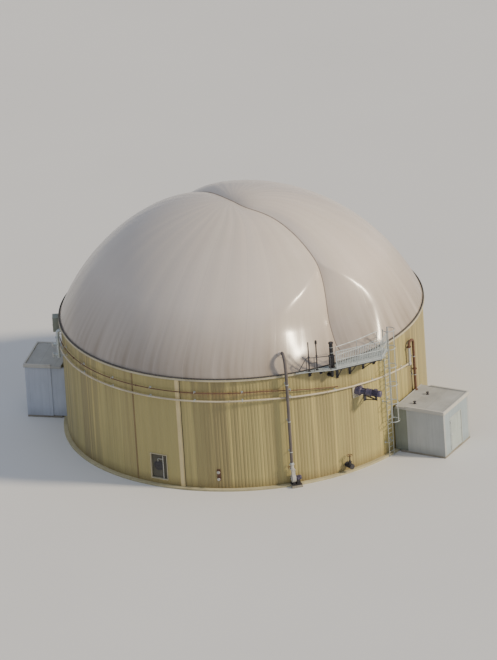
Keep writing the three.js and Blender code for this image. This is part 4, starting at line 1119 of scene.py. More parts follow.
def dome(angle, share, offset=0.0):
    """Membrane point at an angle and a share of the way from the crown (0) to the foot (1).

    A sphere whose meridians are swung so that two of them run in the valley. The valley takes
    VALLEY_DEPTH (1 - share^4) exp(-distance / flank) off the radius. Near the foot a wide cleft takes
    CLEFT_DEPTH times its rise and fade, falling evenly from a rounded ridge to the valley.
    """
    front, back = front_valley(share), back_valley(share)
    turn = (angle - FRONT_FOOT) % 360
    rear = BACK_FOOT - FRONT_FOOT
    swung = np.where(
        turn <= rear,
        front + turn / rear * (back - front),
        back + (turn - rear) / (360 - rear) * (front + 360 - back),
    )
    tilt = FOOT_TILT * share
    plan = DOME_R * np.sin(tilt)
    rise = np.clip((share - CLEFT_RISE[0]) / (CLEFT_RISE[1] - CLEFT_RISE[0]), 0, 1)
    rise = rise * rise * (3 - 2 * rise)

    def dent(off):
        off = (off + 180) % 360 - 180
        across = np.where(np.cos(np.radians(off)) > 0, plan * np.abs(np.sin(np.radians(off))), plan)
        crease = np.exp(-across / np.where(off > 0, FAR_FLANK, NEAR_FLANK))
        width = np.where(off > 0, CLEFT_WIDTH["far"], CLEFT_WIDTH["near"]) * np.maximum(rise, 0.05)
        ridge = RIDGE_ROUND * np.log1p(np.exp(np.clip((1 - across / width) / RIDGE_ROUND, -50, 50)))
        valley = VALLEY_DEPTH * (1 - share**VALLEY_FADE) * crease
        return valley + CLEFT_DEPTH * rise * (1 - share**CLEFT_FADE) * ridge

    reach = DOME_R + offset - np.maximum(dent(swung - front), dent(back - swung))
    foot = COPING_TOP + 0.0003
    lift = foot - (DOME_CENTRE_Z + DOME_R * math.cos(FOOT_TILT))
    height = np.where(share >= 1, foot, DOME_CENTRE_Z + reach * np.cos(tilt) + lift * share)
    return around(reach * np.sin(tilt), swung, height)


def eased(count, start, end):
    """Steps from start to end that are closer together at both ends: s - 0.7 sin(2 pi s) / (2 pi)."""
    s = np.arange(count) / count
    return start + (end - start) * (s - 0.7 * np.sin(2 * np.pi * s) / (2 * np.pi))


def make_membrane():
    """The membrane: its outside runs from crown to foot, sunk a little at the welds between its
    gores by 1 - |sin(gores angle / 2)|, and its inside runs back to the crown."""
    look = settings("roof")
    fabric = finish_of("Roof membrane fabric", membrane_fabric, look.fabric, look.dirt, look.gores)
    end = FRONT_FOOT + 360
    front, rear = FINE_ANGLES
    angles = np.concatenate([eased(front, FRONT_FOOT, BACK_FOOT), eased(rear, BACK_FOOT, end)])
    shares, inner = np.linspace(0, 1, FINE_SHARES[0]), np.linspace(1, 0, FINE_SHARES[1])
    a = angles[:, None]
    scallop = look.scallop * (1 - np.abs(np.sin(np.radians(a * look.gores / 2))))
    fade = np.minimum(1, shares * 4) * np.minimum(1, (1 - shares) * 8)
    outside = dome(a, shares[None], -scallop * fade[None])
    inside = dome(a, inner[None], -MEMBRANE_T)
    points = np.concatenate([outside, inside], 1)
    along = np.radians(np.append(angles, end)) * DOME_FOOT_R
    across = DOME_R * FOOT_TILT * np.concatenate([shares, inner])
    put("roof_membrane", [(poled(points, along, across), fabric)], ["membrane_roof"])


def make_webbing():
    """The strap that lies in the valley, from its front foot over the crown to its back foot."""
    weave = finish_of("Valley webbing", webbing, settings("roof").strap)
    foot_share, lift = 0.992, 0.014
    front = dome(np.float64(FRONT_FOOT), np.linspace(foot_share, 0, 120, endpoint=False), lift)
    back = dome(np.float64(BACK_FOOT), np.linspace(0, foot_share, 121), lift)
    path = np.concatenate([front, back])
    out = path - (0, 0, DOME_CENTRE_Z)
    put("valley_webbing", [(ribbon(path, out, 0.06, 0.02), weave)], ["valley_strap"])


def ribbon(path, out, width, thick):
    """Flat band along a path, its face towards `out`: the rectangle's width lies across both."""
    tangent = np.gradient(path, axis=0)
    tangent /= np.linalg.norm(tangent, axis=1)[:, None]
    side = np.cross(tangent, out)
    side /= np.linalg.norm(side, axis=1)[:, None]
    face = np.cross(side, tangent)
    corner = rectangle(width, thick, 0.004)
    points = path[:, None] + corner[None, :, :1] * side[:, None] + corner[None, :, 1:] * face[:, None]
    return surface(points)


# Manhole, stubs and drain valve


def make_lining():
    """Four plates that line the recess."""
    half, low, high = RECESS["width"] / 2 - 0.0005, RECESS["low"] + 0.0005, RECESS["high"] - 0.0005
    back, front, t = CONCRETE_FACE + 0.01, TANK_R + 0.03, 0.04
    lining = [
        block((back, -half, low), (front, t - half, high)),
        block((back, half - t, low), (front, half, high)),
        block((back, t - half, high - t), (front, half - t, high)),
        block((back, t - half, low), (front, half - t, low + t)),
    ]
    put_at("manhole_lining", "manhole_frame", RECESS["at"], ORIGIN, (paint("cream"), *lining))


def make_lid_and_davit():
    """Bolted lid with a domed middle and a handle, and the davit beside it that carries it."""
    middle, along = flat_at(LID["at"], CONCRETE_FACE)
    base = (CONCRETE_FACE + GAP, along, LID["z"])
    lid = [
        flange(0.31, 0.03, ORIGIN, OUT, 20, 0.011),
        spun([(0.029, 0.235), (0.044, 0.21), (0.058, 0.14), (0.064, 0.02)], 40, ORIGIN, OUT),
        *[rod((0.055, side, 0), (0.1, side, 0), 0.01) for side in (-0.09, 0.09)],
        rod((0.098, -0.1, 0), (0.098, 0.1, 0), 0.011),
    ]
    put_at("manhole_lid", "manhole_cover", middle, base, (paint("dark"), *lid))

    x, y, jib = 0.07, 0.355, 0.48
    foot, top = RECESS["low"] + 0.0405 - LID["z"], RECESS["high"] - 0.1 - LID["z"]
    arm = rounded_path([(x, y, 0.3), (x, y, jib), (x, 0, jib), (x, 0, 0.34)], 0.06)
    davit = [
        rod((x, y, foot), (x, y, top), 0.028, 16),
        spun([(0, 0.06), (0.01, 0.058)], 16, (x, y, foot)),
        spun([(-0.03, 0.034), (0.03, 0.034)], 16, (x, y, jib)),
        swept(circle(0.02, 12), arm[9:], OUT, 0.002),
        block((0, -0.02, 0.3), (x + 0.015, 0.02, 0.36)),
        torus(0.03, 0.008, 20, (x, 0, 0.335), ALONG),
        *[block((0, y - 0.03, z), (x + 0.03, y + 0.03, z + 0.04)) for z in (0.55, -0.61)],
    ]
    put_at("manhole_davit_arm", "manhole_davit", middle, base, (paint("pale"), *davit))


def make_stubs():
    """Two short tubes on one plate, each with its flange, blank and lever."""
    primer, pale, dark = paint("primer"), paint("pale"), paint("dark")
    middle, along = flat_at(STUBS["at"])
    parts = [(primer, pad(0, 0, 0, 0.22, 0.75, 0.02))]
    for z in (0.225, -0.225):
        ring = flange(0.095, 0.018, (0.15, 0, z), OUT, 4, 0.008)
        parts += [
            (primer, spun([(0.018, 0.05), (0.05, 0.047), (0.17, 0.047)], 24, (0, 0, z), OUT)),
            (pale, ring, spun([(0, 0.094), (0.02, 0.09)], 24, (0.169, 0, z), OUT)),
            (dark, rod((0.1, 0, z), (0.1, 0, z + 0.1), 0.012),
             block((0.09, -0.012, z + 0.09), (0.22, 0.012, z + 0.098), 0.002)),
        ]
    put_at("sampling_valves", "sampling_stubs", middle, (SEAT, along, STUBS["z"]), *parts)


def make_drain():
    """Gate valve on the drain: flanged body, bonnet with its yoke, rising stem and handwheel."""
    primer, dark = paint("primer"), paint("dark")
    middle, along = flat_at(DRAIN["at"])
    r, flange_r, x = 0.085, 0.17, 0.33
    body = [flange(flange_r, 0.03, ORIGIN, OUT, 8), spun([(0.02, r), (0.21, r)], 32, ORIGIN, OUT)]
    body += [flange(flange_r, 0.026, (k, 0, 0), OUT, 8) for k in (0.2, 0.228, 0.43, 0.532)]
    bowl = [(0.22, r), (0.26, 0.1), (x, 0.13), (0.4, 0.1), (0.56, r)]
    body += [spun(bowl, 32, ORIGIN, OUT), spun([(0.559, 0.165), (0.575, 0.16)], 32, ORIGIN, OUT)]
    neck = [(0, 0.11), (0.1, 0.1), (0.16, 0.075), (0.18, 0.075), (0.181, 0.12)]
    bonnet = [
        spun(neck + [(0.205, 0.12), (0.206, 0.07), (0.3, 0.05)], 24, (x, 0, 0.05)),
        bolt_circle(8, 0.1, (x, 0, 0.255), UP, 0.009),
        *[rod((x + 5 * lean, 0, 0.3), (x + 3 * lean, 0, 0.56), 0.013) for lean in (-0.01, 0.01)],
        block((x - 0.055, -0.03, 0.55), (x + 0.055, 0.03, 0.58)),
        rod((x, 0, 0.3), (x, 0, 0.72), 0.014),
    ]
    wheel = handwheel(0.165, (x, 0, 0.68), UP)
    parts = [(dark, *body), (dark, *bonnet), (primer, wheel)]
    put_at("drain_gate_valve", "drain_valve", middle, (SEAT, along, DRAIN["z"]), *parts)


# Pipework


def line_height(line, fall, angle):
    """Height at each angle: level at first, then falling as a power of the share of the turn."""
    share = np.maximum(0, (np.asarray(angle, float) - fall["from"]) / fall["over"])
    return line["high"] - fall["by"] * share ** fall["power"]


def clip_angles(line):
    """Middles of the wall's flats that hold a line's clips, one at every third flat."""
    first, every = flat_at(line["start"] + 9)[0], 3 * FACET
    count = math.floor((line["end"] - 3 - first) / every)
    return first + every * np.arange(count + 1)


def line_run(line, fall, start, end, radius):
    """Stretch of a line round the wall: its section carried along its height at each angle."""
    angles = np.linspace(start, end, max(3, round((end - start) * 2) + 1))
    path = around(TANK_R + line["standoff"], angles, line_height(line, fall, angles))
    return swept(circle(radius, 16), path, UP, 0.003)


def saddle(line, half):
    """Clip in a station's axes at height 0: pad, stem, band round the pipe and its bolts."""
    r, n = line["radius"], TANK_R + line["standoff"]
    a = np.arange(28) * 2 * np.pi / 28
    ring = (r + 0.003) * np.stack([np.cos(a), 0 * a, np.sin(a)], 1) + (n, 0, 0)
    return joined(
        pad(SEAT, 0, 0, 0.12, 0.14, 0.008),
        block((WALL_FACE + 0.005, -half * 0.6, -half * 0.6), (n - r, half * 0.6, half * 0.6), 0.003),
        block((n - 0.006, -half * 0.8, r), (n + 0.006, half * 0.8, r + 0.03), 0.002),
        rod((n - 0.02, 0, r + 0.016), (n + 0.02, 0, r + 0.016), 0.006),
        swept(rectangle(0.006, half * 1.6, 0.002), ring, ALONG, loop=True),
    )


def make_lines():
    """The gas line and the air line, each with a sleeve and a collar at every joint, and clips."""
    for name, line, fall, finish, half in (
        ("gas_line", GAS_LINE, GAS_FALL, paint("pipe"), 0.03),
        ("air_line", AIR_LINE, AIR_FALL, paint("primer"), 0.02),
    ):
        r = line["radius"]
        run = line_run(line, fall, line["start"], line["end"], r)
        angles = clip_angles(line)
        spots = around(0, angles, line_height(line, fall, angles))
        clips = copies(saddle(line, half), station_turn(angles), spots)
        joints = []
        for a in np.arange(line["start"] + 16, line["end"] - 4, 31):
            joints.append(line_run(line, fall, a - 0.3, a + 0.3, r + 0.008))
            joints.append(line_run(line, fall, a - 0.06, a + 0.06, r + 0.03))
        put(f"{name}_round_wall", [(run, finish), (joined(*joints), finish), (clips, zinc())], [name])


def make_left_leg():
    """The loop's left leg: out of a swelling on the gas line and up to its flange."""
    r, n, left = LOOP["radius"], TANK_R + LOOP["standoff"], LOOP["left"]
    start = float(line_height(GAS_LINE, GAS_FALL, left))
    foot, neck = around(n, left, start), around(n, left, LOOP["top"] - r - 0.345)
    tee = around(n, left - 0.75, start + 0.004)
    riser = joined(
        swept(circle(r, 24), [foot - (0, 0, 0.05), neck], around(1, LOOP_MIDDLE, 0), 0.003),
        flange(0.145, 0.024, neck - (0, 0, 0.012), UP, 8),
        spun([(-0.1, 0.06), (-0.08, 0.095), (0.06, 0.1), (0.09, 0.082)], 24, foot),
        flange(0.12, 0.02, tee, around(1, left - 90, 0), 6, 0.009),
    )
    put("loop_left_leg", [(riser, paint("pale"))], ["loop_riser"])


def make_right_leg():
    """The loop's bend and its right leg, clipped to the wall, down to a boot on the shed's roof."""
    r, n, rise = LOOP["radius"], TANK_R + LOOP["standoff"], LOOP["top"] - LOOP["radius"]
    left, right = LOOP["left"], LOOP["right"]
    across = left + (right - left) * np.array([0, 0, 0.15, 0.5, 0.85, 1, 1])
    heights = rise - np.array([0.318, 0.2, 0.06, 0, 0.06, 0.2, 0.33])
    bend = smooth_path(around(n, across, heights), 0.03)
    down = around(n, right, np.linspace(rise - 0.36, RIGHT_SHED["roof"] + 0.001, 40))
    foot = around(n, right, RIGHT_SHED["roof"] + 0.0005)
    boot = [(0, 0.15), (0.012, 0.148), (0.016, 0.1), (0.09, 0.088), (0.095, 0.081)]
    pipe = joined(
        swept(circle(r, 24), np.concatenate([bend, down]), around(1, LOOP_MIDDLE, 0), 0.002),
        flange(0.145, 0.024, around(n, left, rise - 0.318), UP, 8),
        spun(boot, 28, foot),
        *[flange(0.145, 0.024, around(n, right, z), UP, 8) for z in (4.35, 4.376)],
    )
    flat, along = flat_at(right)
    turn = np.radians(right - flat)
    x, y = n * math.cos(turn), n * math.sin(turn)
    clips = []
    for z in (5.2, 4.0):
        clips.append(wall_arm(SEAT, x - r, along, z, (0.16, 0.12), back=0.0096))
        clips.append(collar(r + 0.001, r + 0.008, 0.02, (x, y, z)))
    parts = [(pipe, paint("primer")), (stationed(joined(*clips), flat), zinc())]
    put("loop_right_leg", parts, ["loop_pipe"])


def make_take_off():
    """Gas outlet: a pipe out of the wall and down, with two branches that end in blank flanges."""
    middle, along = flat_at(TAKE_OFF["at"])
    r, axis = TAKE_OFF["radius"], TANK_R + TAKE_OFF["standoff"]
    base, wall = (axis, along, 0), SEAT - axis
    track = [(wall, 6.9), (wall + 0.12, 6.9), (-0.04, 6.86), (0, 6.74), (0, 6.5), (0, 5.15)]
    path = smooth_path([(x, 0, z) for x, z in track], 0.03)
    branch = [(0.06, r + 0.005), (0.11, r - 0.005), (0.14, r - 0.015), (0.3, r - 0.015)]
    parts = [
        swept(circle(r, 28), path, ALONG, 0.002),
        flange(0.18, 0.022, (wall, 0, 6.9), OUT, 12),
        *[flange(0.165, 0.022, (0, 0, z), UP, 8) for z in (6.45, 6.4722)],
        spun([(0, r - 0.01), (0.03, 0.07), (0.04, 0.01)], 28, (0, 0, 5.15), (0, 0, -1)),
    ]
    for z in TAKE_OFF["branches"]:
        parts += [spun(branch, 28, (0, 0, z), OUT), flange(0.165, 0.04, (0.29, 0, z), OUT, 8)]
    for z in (5.7, 5.25):
        parts.append(wall_arm(wall, -r, 0, z, (0.2, 0.12), 0.025))
        parts.append(collar(r + 0.001, r + 0.008, 0.02, (0, 0, z)))
    put_at("gas_outlet_pipe", "gas_take_off", middle, base, (zinc(), *parts))
    edge = [(0, 0.161), (0.004, 0.165), (0.025, 0.165), (0.0295, 0.16)]
    for k, z in enumerate(TAKE_OFF["branches"]):
        disc = spun(edge, 32, (0.3305, 0, z), OUT)
        bolts = bolt_circle(8, 0.132, (0.36, 0, z), OUT, 0.012, 0.012)
        blank = (paint("pale"), disc, bolts)
        put_at(f"outlet_blank_{k + 1}", f"blind_flange_{k + 1}", middle, base, blank)


def make_cabinet():
    """Instrument box with a door, a rain hood and cable glands, on two rails off the wall."""
    middle, along = flat_at(CABINET_AT)
    back, front = 0.14, 0.5
    rails = []
    for t in (-0.26, 0.26):
        rails.append(block((back - 0.04, t - 0.03, 5.9), (back, t + 0.03, 7.06), 0.003))
        rails += [wall_arm(0, back - 0.04, t, z, (0.12, 0.1)) for z in (5.98, 6.55, 7.0)]
    hinge = front - 0.022
    box = [
        block((back, -0.345, 6.16), (front - 0.03, 0.345, 7.04), 0.008),
        block((front - 0.034, -0.335, 6.17), (front - 0.006, 0.335, 7.03), 0.01),
        block((back, -0.35, 7.04), (front, 0.35, 7.08), 0.01),
        *[rod((hinge, -0.34, z), (hinge, -0.34, z + 0.15), 0.012) for z in (6.25, 6.8)],
        spun([(0, 0.02), (0.012, 0.018)], 16, (front - 0.007, 0.27, 6.6), OUT),
        block((front + 0.002, 0.262, 6.55), (front + 0.012, 0.278, 6.65), 0.002),
    ]
    gland = [(0, 0.022), (0.03, 0.022), (0.045, 0.013)]
    spots = [(back + 0.12, t, 6.161) for t in (-0.18, -0.06, 0.06, 0.18)]
    glands = [spun(gland, 8, spot, (0, 0, -1)) for spot in spots]
    finish = finish_of("Cabinet paint", steel_paint, settings("sheds").infill, 0.15, 0.4)
    parts = [(finish, *box), (zinc(), *rails), (black_rubber(), *glands)]
    put_at("instrument_box", "instrument_cabinet", middle, (SEAT, along, 0), *parts)


def make_hose():
    """Corrugated hose from the roof over the rim and down: its size waves along its length."""
    middle, along = flat_at(HOSE["at"])
    axis, r, low = TANK_R + HOSE["standoff"], HOSE["radius"], HOSE["low"]
    base, step = (axis, along, 0), 0.0125
    track = [(10.585, 8.5), (10.83, 8.48), (11.06, 8.29), (11.21, 7.9)]
    track = [(x - axis, 0, z) for x, z in track] + [(0, 0, z) for z in (7.4, 6.6, 4.5, 2.5, low)]
    path = smooth_path(track, step)
    wave = np.cos(2 * np.pi * np.arange(len(path)) * step / HOSE["wave"])
    tube = swept(circle(r, 20), path, ALONG, scale=1 - 0.07 * (0.5 + 0.5 * wave))
    turns = np.linspace(HOSE["at"] - 6, HOSE["at"] + 6, 121)[:, None]
    roof = dome(turns, np.linspace(0.84, 0.96, 121)[None]) @ station_turn(middle)[0] - base
    roof = roof.reshape(-1, 3)
    seat = roof[np.argmin(np.linalg.norm(roof - path[0], axis=1))]
    way = path[0] - seat
    reach = np.linalg.norm(way)
    boot = [(-0.02, 0.17), (0.006, 0.165), (0.012, 0.13), (0.02, 0.112)]
    patch = spun(boot + [(reach, 0.106), (reach + 0.05, 0.102)], 32, seat, way)
    bands = []
    for z in (6.7, 4.3, 2.3):
        bands.append(collar(r + 0.001, r + 0.007, 0.022, (0, 0, z), UP, 28))
        bands.append(wall_arm(SEAT - axis, -r, 0, z, (0.14, 0.14), back=0.0096))
    cuff = spun([(0, r + 0.008), (0.09, r + 0.008), (0.1, r + 0.002)], 28, (0, 0, low + 0.0005))
    hose = finish_of("Hose rubber", rubber, settings("pipes").hose)
    fabric = bpy.data.materials["Roof membrane fabric"]
    parts = [(hose, tube), (fabric, patch), (zinc(), *bands, cuff)]
    put_at("support_hose", "support_air_hose", middle, base, *parts)


def fan_casing(eye):
    """Spiral casing whose radius grows evenly as it turns, with its outlet and its mouth."""
    a = np.linspace(-0.5 * np.pi, 1.5 * np.pi, 72, endpoint=False)
    spiral = 0.235 + 0.075 * (a + 0.5 * np.pi) / (2 * np.pi)
    x, z = spiral * np.cos(a), spiral * np.sin(a)
    rings = ((-0.055, 0.965), (-0.043, 1.0), (0.153, 1.0), (0.165, 0.965))
    bell = [(0, 0.15), (0.012, 0.15), (0.04, 0.115), (0.06, 0.11)]
    return [
        surface(np.array([np.stack([x * k, 0 * a + t, eye + z * k], 1) for t, k in rings])),
        block((-0.1, -0.05, 0.6), (0.1, 0.16, 1.12), 0.01),
        block((-0.13, -0.08, 1.1), (0.13, 0.19, 1.13), 0.004),
        spun([(1.128, 0.115), (1.2, 0.11)], 28),
        spun(bell, 28, (0, -0.055, eye), (0, -1, 0)),
        torus(0.112, 0.007, 32, (0, -0.115, eye), ALONG),
    ]


def mouth_guard(eye):
    """Three rings of wire in the fan's mouth, and three wires across it at equal turns."""
    r, t, wire = 0.112, -0.116, 0.0035
    guard = [torus(k, wire, 24, (0, t, eye), ALONG, 6) for k in (0.03, 0.058, 0.085)]
    for turn in (0.0, np.pi / 3, 2 * np.pi / 3):
        x, z = r * math.cos(turn), r * math.sin(turn)
        guard.append(rod((-x, t, eye - z), (x, t, eye + z), wire, 6, 0))
    return guard


def fan_stand():
    """Two channel rails on a plate, legs for the casing and a block for the motor."""
    rail = channel_section(0.08, 0.045, 0.006)
    return [
        swept(rail, [(-0.2, -0.1, 0.2), (-0.2, 0.52, 0.2)]),
        swept(rail, [(0.2, 0.52, 0.2), (0.2, -0.1, 0.2)]),
        block((-0.24, -0.1, 0.156), (0.24, 0.52, 0.164), 0.002),
        block((-0.15, -0.02, 0.16), (-0.13, 0.13, 0.42), 0.003),
        block((0.13, -0.02, 0.16), (0.15, 0.13, 0.42), 0.003),
        block((-0.09, 0.23, 0.16), (0.09, 0.43, 0.42), 0.01),
    ]


def make_blower():
    """Fan at the hose's foot: casing with a guard, duct with a damper's wheel, motor and stand."""
    dark = paint("dark")
    middle, along = flat_at(HOSE["at"])
    axis, low, eye, damper = TANK_R + HOSE["standoff"], HOSE["low"], 0.56, 1.34
    duct = [spun([(0, 0.11), (0.28, 0.11)], 28, (0, 0, 1.21))]
    duct += [flange(0.165, 0.022, (0, 0, z), UP, 8) for z in (1.185, low - 0.024)]
    lever = [
        rod((0, -0.25, damper), (0, 0.12, damper), 0.014),
        spun([(-0.02, 0.05), (0.03, 0.045)], 12, (0, -0.13, damper), ALONG),
        handwheel(0.1, (0, -0.235, damper), ALONG),
    ]
    plinth = [
        block((-0.26, -0.12, SLAB_H + 0.0005), (0.26, 0.54, SLAB_H + 0.038), 0.006),
        block((SLAB_R + 0.03 - axis, -0.12, 0.0), (0.26, 0.54, SLAB_H + 0.02), 0.008),
    ]
    drive = motor((0, 0.165, eye), ALONG, 0.145, 0.36, OUT)
    parts = [(paint("pale"), *duct), (paint("primer"), *lever), (paint("pale"), *fan_casing(eye))]
    parts += [(dark, *mouth_guard(eye)), (paint("motor"), drive), (dark, *fan_stand())]
    parts.append((plinth_concrete(), *plinth))
    put_at("support_blower", "support_air_blower", middle, (axis, along, 0), *parts)


def motor(base, direction, radius, length, top=UP):
    """Finned motor: a section whose radius steps in and out 36 times, end bells, cowl and a lidded box."""
    fins, r = 36, radius
    a = np.arange(fins * 4) * 2 * np.pi / (fins * 4)
    steps = np.tile([r * 0.84, r * 0.84, r * 0.98, r * 0.98], fins)
    section = steps[:, None] * np.stack([np.cos(a), np.sin(a)], 1)
    rear = [(0.72, 1), (0.75, 1), (0.96, 0.98), (1, 0.86)]
    k = r * 0.98
    whole = joined(
        swept(section, [(0, 0, length * 0.12), (0, 0, length * 0.72)], OUT),
        spun([(0, r * 0.9), (length * 0.02, k), (length * 0.12, r)], 36),
        spun([(length * z, r * share) for z, share in rear], 36),
        spun([(length * 0.995, r * 0.62), (length * 1.004, r * 0.6)], 24),
        block((k * 0.8, -r * 0.42, length * 0.25), (k * 1.28, r * 0.42, length * 0.58), 0.006),
        block((k * 1.27, -r * 0.46, length * 0.235), (k * 1.33, r * 0.46, length * 0.595), 0.005),
    )
    d = np.asarray(direction, float) / np.linalg.norm(direction)
    x = np.asarray(top, float) - np.dot(top, d) * d
    x /= np.linalg.norm(x)
    return copies(whole, [np.stack([x, np.cross(d, x), d], 1)], [base])


def agitator_axis():
    """The agitator's station, its base there, and its slanting axis as a point and a direction."""
    middle, along = flat_at(AGITATOR["at"])
    swing, dip = math.radians(AGITATOR["swing"]), math.radians(AGITATOR["dip"])
    way = np.array([math.cos(swing) * math.cos(dip), math.sin(swing) * math.cos(dip), -math.sin(dip)])
    return middle, (SEAT, along, AGITATOR["z"]), np.array([0.04, 0, 0]), way


def make_wall_plate():
    """Square plate with a raised rim of bolts, and the neck that leads the axis out of it."""
    middle, base, origin, way = agitator_axis()
    half, back, front = AGITATOR["plate"], 0.02, 0.04
    inner, middle_ring = half - 0.08, half - 0.04
    plate = [
        block((0, -half, -half), (0.025, half, half), 0.006),
        block((back, -half, -half), (front, half, -inner)),
        block((back, -half, inner), (front, half, half)),
        block((back, -half, -inner), (front, -inner, inner)),
        block((back, inner, -inner), (front, half, inner)),
    ]
    spots = np.linspace(-middle_ring, middle_ring, 6)
    edge = [(front, s, k) for s in spots for k in spots[[0, -1]]]
    edge += [(front, k, s) for s in spots[1:-1] for k in spots[[0, -1]]]
    studs = copies(bolt(0.012, 0.016), [aim(OUT)], edge)
    neck = spun([(-0.18, 0.27), (0.1, 0.27), (0.105, 0.3), (0.1495, 0.3)], 40, origin, way)
    neck.points[:, 0] = np.maximum(neck.points[:, 0], 0.002)
    neck_bolts = bolt_circle(12, 0.265, origin + way * 0.105, -way)
    parts = [(paint("cream"), *plate), (paint("motor"), neck), (fasteners(), studs, neck_bolts)]
    put_at("agitator_wall_plate", "agitator_flange", middle, base, *parts)


def make_drive():
    """Gearbox with its ribs, coupling housing and motor, along the slanting axis."""
    middle, base, origin, way = agitator_axis()
    gearbox = [(0.15, 0.29), (0.19, 0.29), (0.2, 0.2), (0.24, 0.165), (0.3, 0.15), (0.5, 0.15), (0.56, 0.2)]
    housing = [(0.565, 0.235), (0.6, 0.24), (0.605, 0.215), (0.84, 0.215), (0.845, 0.24), (0.878, 0.24)]
    rib = block((0.145, -0.006, 0.2), (0.2, 0.006, 0.56), 0.001)
    ribs = copies(rib, station_turn(90 + 45 * np.arange(8)), np.zeros((8, 3)))
    bolts = [
        bolt_circle(12, 0.262, origin + way * 0.19, way),
        bolt_circle(10, 0.222, origin + way * 0.6, way, 0.009),
        bolt_circle(10, 0.226, origin + way * 0.845, -way, 0.009),
    ]
    drive = motor(origin + way * 0.876, way, 0.203, AGITATOR["end"] - 0.879)
    case = spun(gearbox + housing, 40, origin, way)
    enamel = paint("motor")
    parts = [(enamel, case, aimed(ribs, origin, way)), (enamel, drive), (fasteners(), *bolts)]
    put_at("agitator_drive", "agitator_motor", middle, base, *parts)


def make_stay():
    """Channel and strut off the wall, with a post and a cradle under the motor."""
    middle, base, origin, way = agitator_axis()
    axis = origin + way * 1.15
    x, y, low = axis - (0, 0, 0.205)
    shelf = -0.45
    channel = [(0.02, y - 0.022, shelf - 0.045), (x + 0.12, y - 0.022, shelf - 0.045)]
    a = np.radians(np.linspace(215, 325, 25))[:, None]
    side = np.cross(way, UP)
    side /= np.linalg.norm(side)
    arc = axis + 0.214 * (np.cos(a) * side + np.sin(a) * np.cross(side, way))
    stay = [
        pad(0, y, shelf - 0.205, 0.22, 0.43, 0.03),
        swept(channel_section(0.09, 0.045, 0.007), channel),
        rod((x - 0.04, y, shelf - 0.06), (0.03, y, shelf - 0.34), 0.03, 16),
        block((x - 0.07, y - 0.07, shelf - 0.004), (x + 0.07, y + 0.07, shelf + 0.008), 0.003),
        block((x - 0.045, y - 0.045, shelf), (x + 0.045, y + 0.045, low - 0.03)),
        swept(rectangle(0.016, 0.14, 0.003), arc, way),
        block((x - 0.06, y - 0.06, low - 0.05), (x + 0.06, y + 0.06, low - 0.012)),
    ]
    put_at("agitator_stay", "agitator_bracket", middle, base, (paint("dark"), *stay))


# Steelwork


def handrail(corners, posts, foot):
    """Round top and knee rails through the corners, on posts with base plates."""
    top, knee = DECK_Z + RAIL_H, DECK_Z + RAIL_H / 2
    parts = []
    for z in (top, knee):
        path = rounded_path([(*c, z) for c in corners], 0.12)
        parts.append(swept(circle(RAIL_R, 14), path, UP, 0.004))
    for x, y in posts:
        parts.append(rod((x, y, foot), (x, y, top), POST_R, 14))
        parts.append(block((x - 0.035, y - 0.035, foot), (x + 0.035, y + 0.035, foot + 0.01), 0.003))
        parts.append(torus(POST_R + 0.001, 0.006, 14, (x, y, foot + 0.012), UP, 6))
    return joined(*parts)


def infill(corners):
    """Flat upright bars between a bottom rail and the top rail, and a toe board, along straight runs."""
    low, top, pitch = DECK_Z + 0.16, DECK_Z + RAIL_H - 0.015, 0.11
    parts = []
    for p, q in zip(corners, corners[1:]):
        run = np.subtract(q, p)
        length = np.linalg.norm(run)
        way = run / length
        place = p + way * np.arange(pitch / 2, length - 0.03, pitch)[:, None]
        z = np.full((len(place), 1), top)
        near, far = np.hstack([place - way * 0.02, z]), np.hstack([place + way * 0.02, z])
        parts.append(bars(near, far, 0.006, top - low))
        for height, thick, high in ((low + 0.03, 0.014, 0.03), (DECK_Z + 0.13, 0.006, 0.12)):
            parts.append(bars([(*p, height)], [(*q, height)], thick, high))
    return joined(*parts)


def deck_edge(angle):
    """Radius of the deck's outer edge at each angle: straight in plan from corner to corner."""
    angle = np.asarray(angle, float)
    turns, reaches = np.array(DECK_CORNERS).T
    corners = around(reaches, turns, 0)[:, :2]
    leg = np.clip(np.searchsorted(turns, angle) - 1, 0, len(turns) - 2)
    x, y = np.moveaxis(corners[leg], -1, 0)
    a, b = np.moveaxis(corners[leg + 1] - corners[leg], -1, 0)
    u, v = np.moveaxis(around(1, angle, 0), -1, 0)[:2]
    return (x * b - y * a) / (u * b - v * a)


def on_edge(angle, inset):
    """Place in plan at each angle, a given way in from the deck's outer edge."""
    return around(deck_edge(angle) - inset, angle, 0)[..., :2]


def bearing_bars(start, end, band):
    """Bars round the wall at 34 mm, each at one radius and in chords of half a degree.

    A bar runs between the angles where the outer edge lies beyond it, clear of the stack's hole.
    """
    centre, hole = around(RELIEF["n"], RELIEF["at"], DECK_Z), RELIEF["hole"]
    fine = np.linspace(start + 0.03, end - 0.03, 1500)
    starts, ends = [], []
    for r in np.arange(DECK_R + 0.03, deck_edge(fine).max() - 0.012, 0.034):
        inside = fine[deck_edge(fine) > r + band]
        a = np.linspace(inside[0], inside[-1], max(2, round((inside[-1] - inside[0]) * 2)))
        p, q = around(r, a[:-1], DECK_Z), around(r, a[1:], DECK_Z)
        clear = np.linalg.norm((p + q) / 2 - centre, axis=1) > hole + 0.035
        starts.append(p[clear])
        ends.append(q[clear])
    return bars(np.concatenate(starts), np.concatenate(ends), 0.0045, 0.036)


